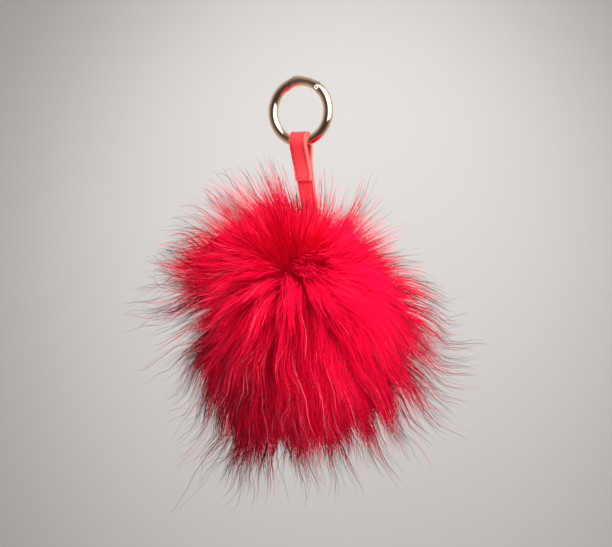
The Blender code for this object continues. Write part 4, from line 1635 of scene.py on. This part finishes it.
class CHARM_OT_stage(bpy.types.Operator):
    """Set up the camera, the soft studio lights and the pale floor"""

    bl_idname = "charm.stage"
    bl_label = "Stage"

    def execute(self, context):
        settings = context.scene.charm_stage
        middle = RIGHT * ((PICTURE_WIDTH / 2.0 - RING_MIDDLE_PIXEL) * settings.scale)
        middle.z = 2.0 * WIRE_RADIUS - (PICTURE_HEIGHT / 2.0 - RING_TOP_PIXEL) * settings.scale
        self.add_camera(context, middle, settings)
        self.add_lights(context, middle)
        self.add_room(context)
        self.add_floor(context)
        context.scene.view_settings.view_transform = "Standard"
        return {"FINISHED"}

    def add_camera(self, context, middle, settings):
        """Look level at the charm as the photograph does."""
        data = bpy.data.cameras.new("camera")
        data.lens = settings.lens
        distance = PICTURE_WIDTH * settings.scale * settings.lens / data.sensor_width
        camera = bpy.data.objects.new("camera", data)
        camera.location = middle + TOWARD * distance
        camera.rotation_euler = (-TOWARD).to_track_quat("-Z", "Y").to_euler()
        context.scene.collection.objects.link(camera)
        context.scene.camera = camera

    def add_lights(self, context, middle):
        """Soft lamps round the charm, and a glow on the backdrop behind it."""
        for name, stands, size, power, in_gloss in LIGHTS:
            lamp = bpy.data.lights.new(name, "AREA")
            lamp.shape = "RECTANGLE"
            lamp.size, lamp.size_y = size
            lamp.energy = power
            self.add_light(context, lamp, middle, stands, (0.0, 0.0, 0.0), in_gloss)
        glow = bpy.data.lights.new("backdrop_glow", "SPOT")
        glow.energy = GLOW_POWER
        glow.spot_size = math.radians(GLOW_ANGLE)
        glow.spot_blend = 1.0
        glow.shadow_soft_size = GLOW_SOFTNESS
        self.add_light(context, glow, middle, GLOW_STANDS, GLOW_POINTS, False)

    def add_light(self, context, lamp, middle, stands, points, in_gloss):
        """Stand a lamp at one place, pointed at another, each to the right, toward and up."""
        place, target = (
            middle + RIGHT * right + TOWARD * toward + Vector((0.0, 0.0, up))
            for right, toward, up in (stands, points)
        )
        made = bpy.data.objects.new(lamp.name, lamp)
        made.visible_glossy = in_gloss
        made.visible_camera = lamp.type != "AREA"
        made.location = place
        made.rotation_euler = (place - target).to_track_quat("Z", "Y").to_euler()
        context.scene.collection.objects.link(made)

    def add_room(self, context):
        """Even light from the room, and what polished metal mirrors of it."""
        world = bpy.data.worlds.new("studio")
        world.use_nodes = True
        tree = world.node_tree
        room = tree.nodes["Background"]
        room.inputs["Color"].default_value = (*ROOM_COLOUR, 1.0)
        room.inputs["Strength"].default_value = ROOM_STRENGTH
        mirrored = tree.nodes.new("ShaderNodeBackground")
        where = tree.nodes.new("ShaderNodeTexCoord")
        facing = tree.nodes.new("ShaderNodeVectorMath")
        facing.operation = "DOT_PRODUCT"
        facing.inputs[1].default_value = -TOWARD
        depth = tree.nodes.new("ShaderNodeValToRGB")
        Finish.set_stops(depth.color_ramp, MIRRORED_ROOM, False)
        shift = tree.nodes.new("ShaderNodeMapRange")
        shift.inputs["From Min"].default_value = -1.0
        ray = tree.nodes.new("ShaderNodeLightPath")
        both = tree.nodes.new("ShaderNodeMixShader")
        for link in (
            (where.outputs["Generated"], facing.inputs[0]),
            (facing.outputs["Value"], shift.inputs["Value"]),
            (shift.outputs["Result"], depth.inputs["Fac"]),
            (depth.outputs["Color"], mirrored.inputs["Color"]),
            (ray.outputs["Is Glossy Ray"], both.inputs["Fac"]),
            (room.outputs["Background"], both.inputs[1]),
            (mirrored.outputs["Background"], both.inputs[2]),
            (both.outputs["Shader"], tree.nodes["World Output"].inputs["Surface"]),
        ):
            tree.links.new(*link)
        context.scene.world = world

    def add_floor(self, context):
        """A pale floor well below the charm that sweeps up into a round backdrop."""
        builder = bmesh.new()
        flat = BACKDROP_RADIUS - SWEEP
        profile = [(0.0, FLOOR_Z), (flat, FLOOR_Z)]
        for step in range(1, SWEEP_STEPS + 1):
            turn = step / SWEEP_STEPS * math.pi / 2.0
            rise = FLOOR_Z + SWEEP - SWEEP * math.cos(turn)
            profile.append((flat + SWEEP * math.sin(turn), rise))
        profile.append((BACKDROP_RADIUS, BACKDROP_TOP))
        points = [builder.verts.new((x, 0.0, z)) for x, z in profile]
        for pair in zip(points, points[1:]):
            builder.edges.new(pair)
        bmesh.ops.spin(
            builder, geom=builder.edges[:], cent=(0, 0, 0), axis=(0, 0, 1),
            angle=2.0 * math.pi, steps=BACKDROP_SIDES, use_merge=True,
        )
        bmesh.ops.remove_doubles(builder, verts=builder.verts[:], dist=FLOOR_WELD)
        bmesh.ops.recalc_face_normals(builder, faces=builder.faces[:])
        mesh = bpy.data.meshes.new("floor")
        builder.to_mesh(mesh)
        builder.free()
        mesh.shade_smooth()
        mesh.materials.append(self.floor_finish())
        floor = bpy.data.objects.new("floor", mesh)
        floor.visible_diffuse = floor.visible_glossy = floor.visible_shadow = False
        context.scene.collection.objects.link(floor)

    def floor_finish(self):
        """A pale surface with a light of its own, but for behind the charm."""
        finish = Finish("pale_floor", Roughness=0.9, Specular_IOR_Level=0.1, Emission_Strength=1.0)
        finish.shader.inputs["Base Color"].default_value = (*FLOOR_COLOUR, 1.0)
        level = finish.vector("MULTIPLY", finish.where(), (1.0, 1.0, 0.0))
        level = finish.vector("NORMALIZE", level)
        behind = finish.vector("DOT_PRODUCT", level, -TOWARD, output=1)
        aside = behind.ramp(*FLOOR_LIGHT_FADES, 1.0, 0.0)
        finish.feed(Emission_Color=finish.mix(aside, (0.0, 0.0, 0.0), FLOOR_LIGHT))
        return finish.material


STEPS = ("stage", "ring", "gate", "rivet", "strap", "stitches", "fur")
GROUPS = {
    "charm_ring": CharmRingSettings,
    "charm_strap": CharmStrapSettings,
    "charm_fur": CharmFurSettings,
    "charm_stage": CharmStageSettings,
}


class CHARM_PT_panel(bpy.types.Panel):
    """The charm's pieces and their sizes and colours"""

    bl_idname = "CHARM_PT_panel"
    bl_label = "Fur Pom Pom Bag Charm"
    bl_space_type = "VIEW_3D"
    bl_region_type = "UI"
    bl_category = "Charm"

    def draw(self, context):
        for step in STEPS:
            self.layout.operator(f"charm.{step}")
        for group, kind in GROUPS.items():
            box = self.layout.box()
            for key in kind.__annotations__:
                box.prop(getattr(context.scene, group), key)


CLASSES = (
    *GROUPS.values(), CHARM_OT_stage, CHARM_OT_ring, CHARM_OT_gate, CHARM_OT_rivet, CHARM_OT_strap,
    CHARM_OT_stitches, CHARM_OT_fur, CHARM_PT_panel,
)


def register():
    for item in CLASSES:
        bpy.utils.register_class(item)
    for group, kind in GROUPS.items():
        setattr(bpy.types.Scene, group, PointerProperty(type=kind))


def unregister():
    for group in GROUPS:
        delattr(bpy.types.Scene, group)
    for item in reversed(CLASSES):
        bpy.utils.unregister_class(item)


def main():
    register()
    for step in STEPS:
        getattr(bpy.ops.charm, step)()


if __name__ == "__main__":
    main()
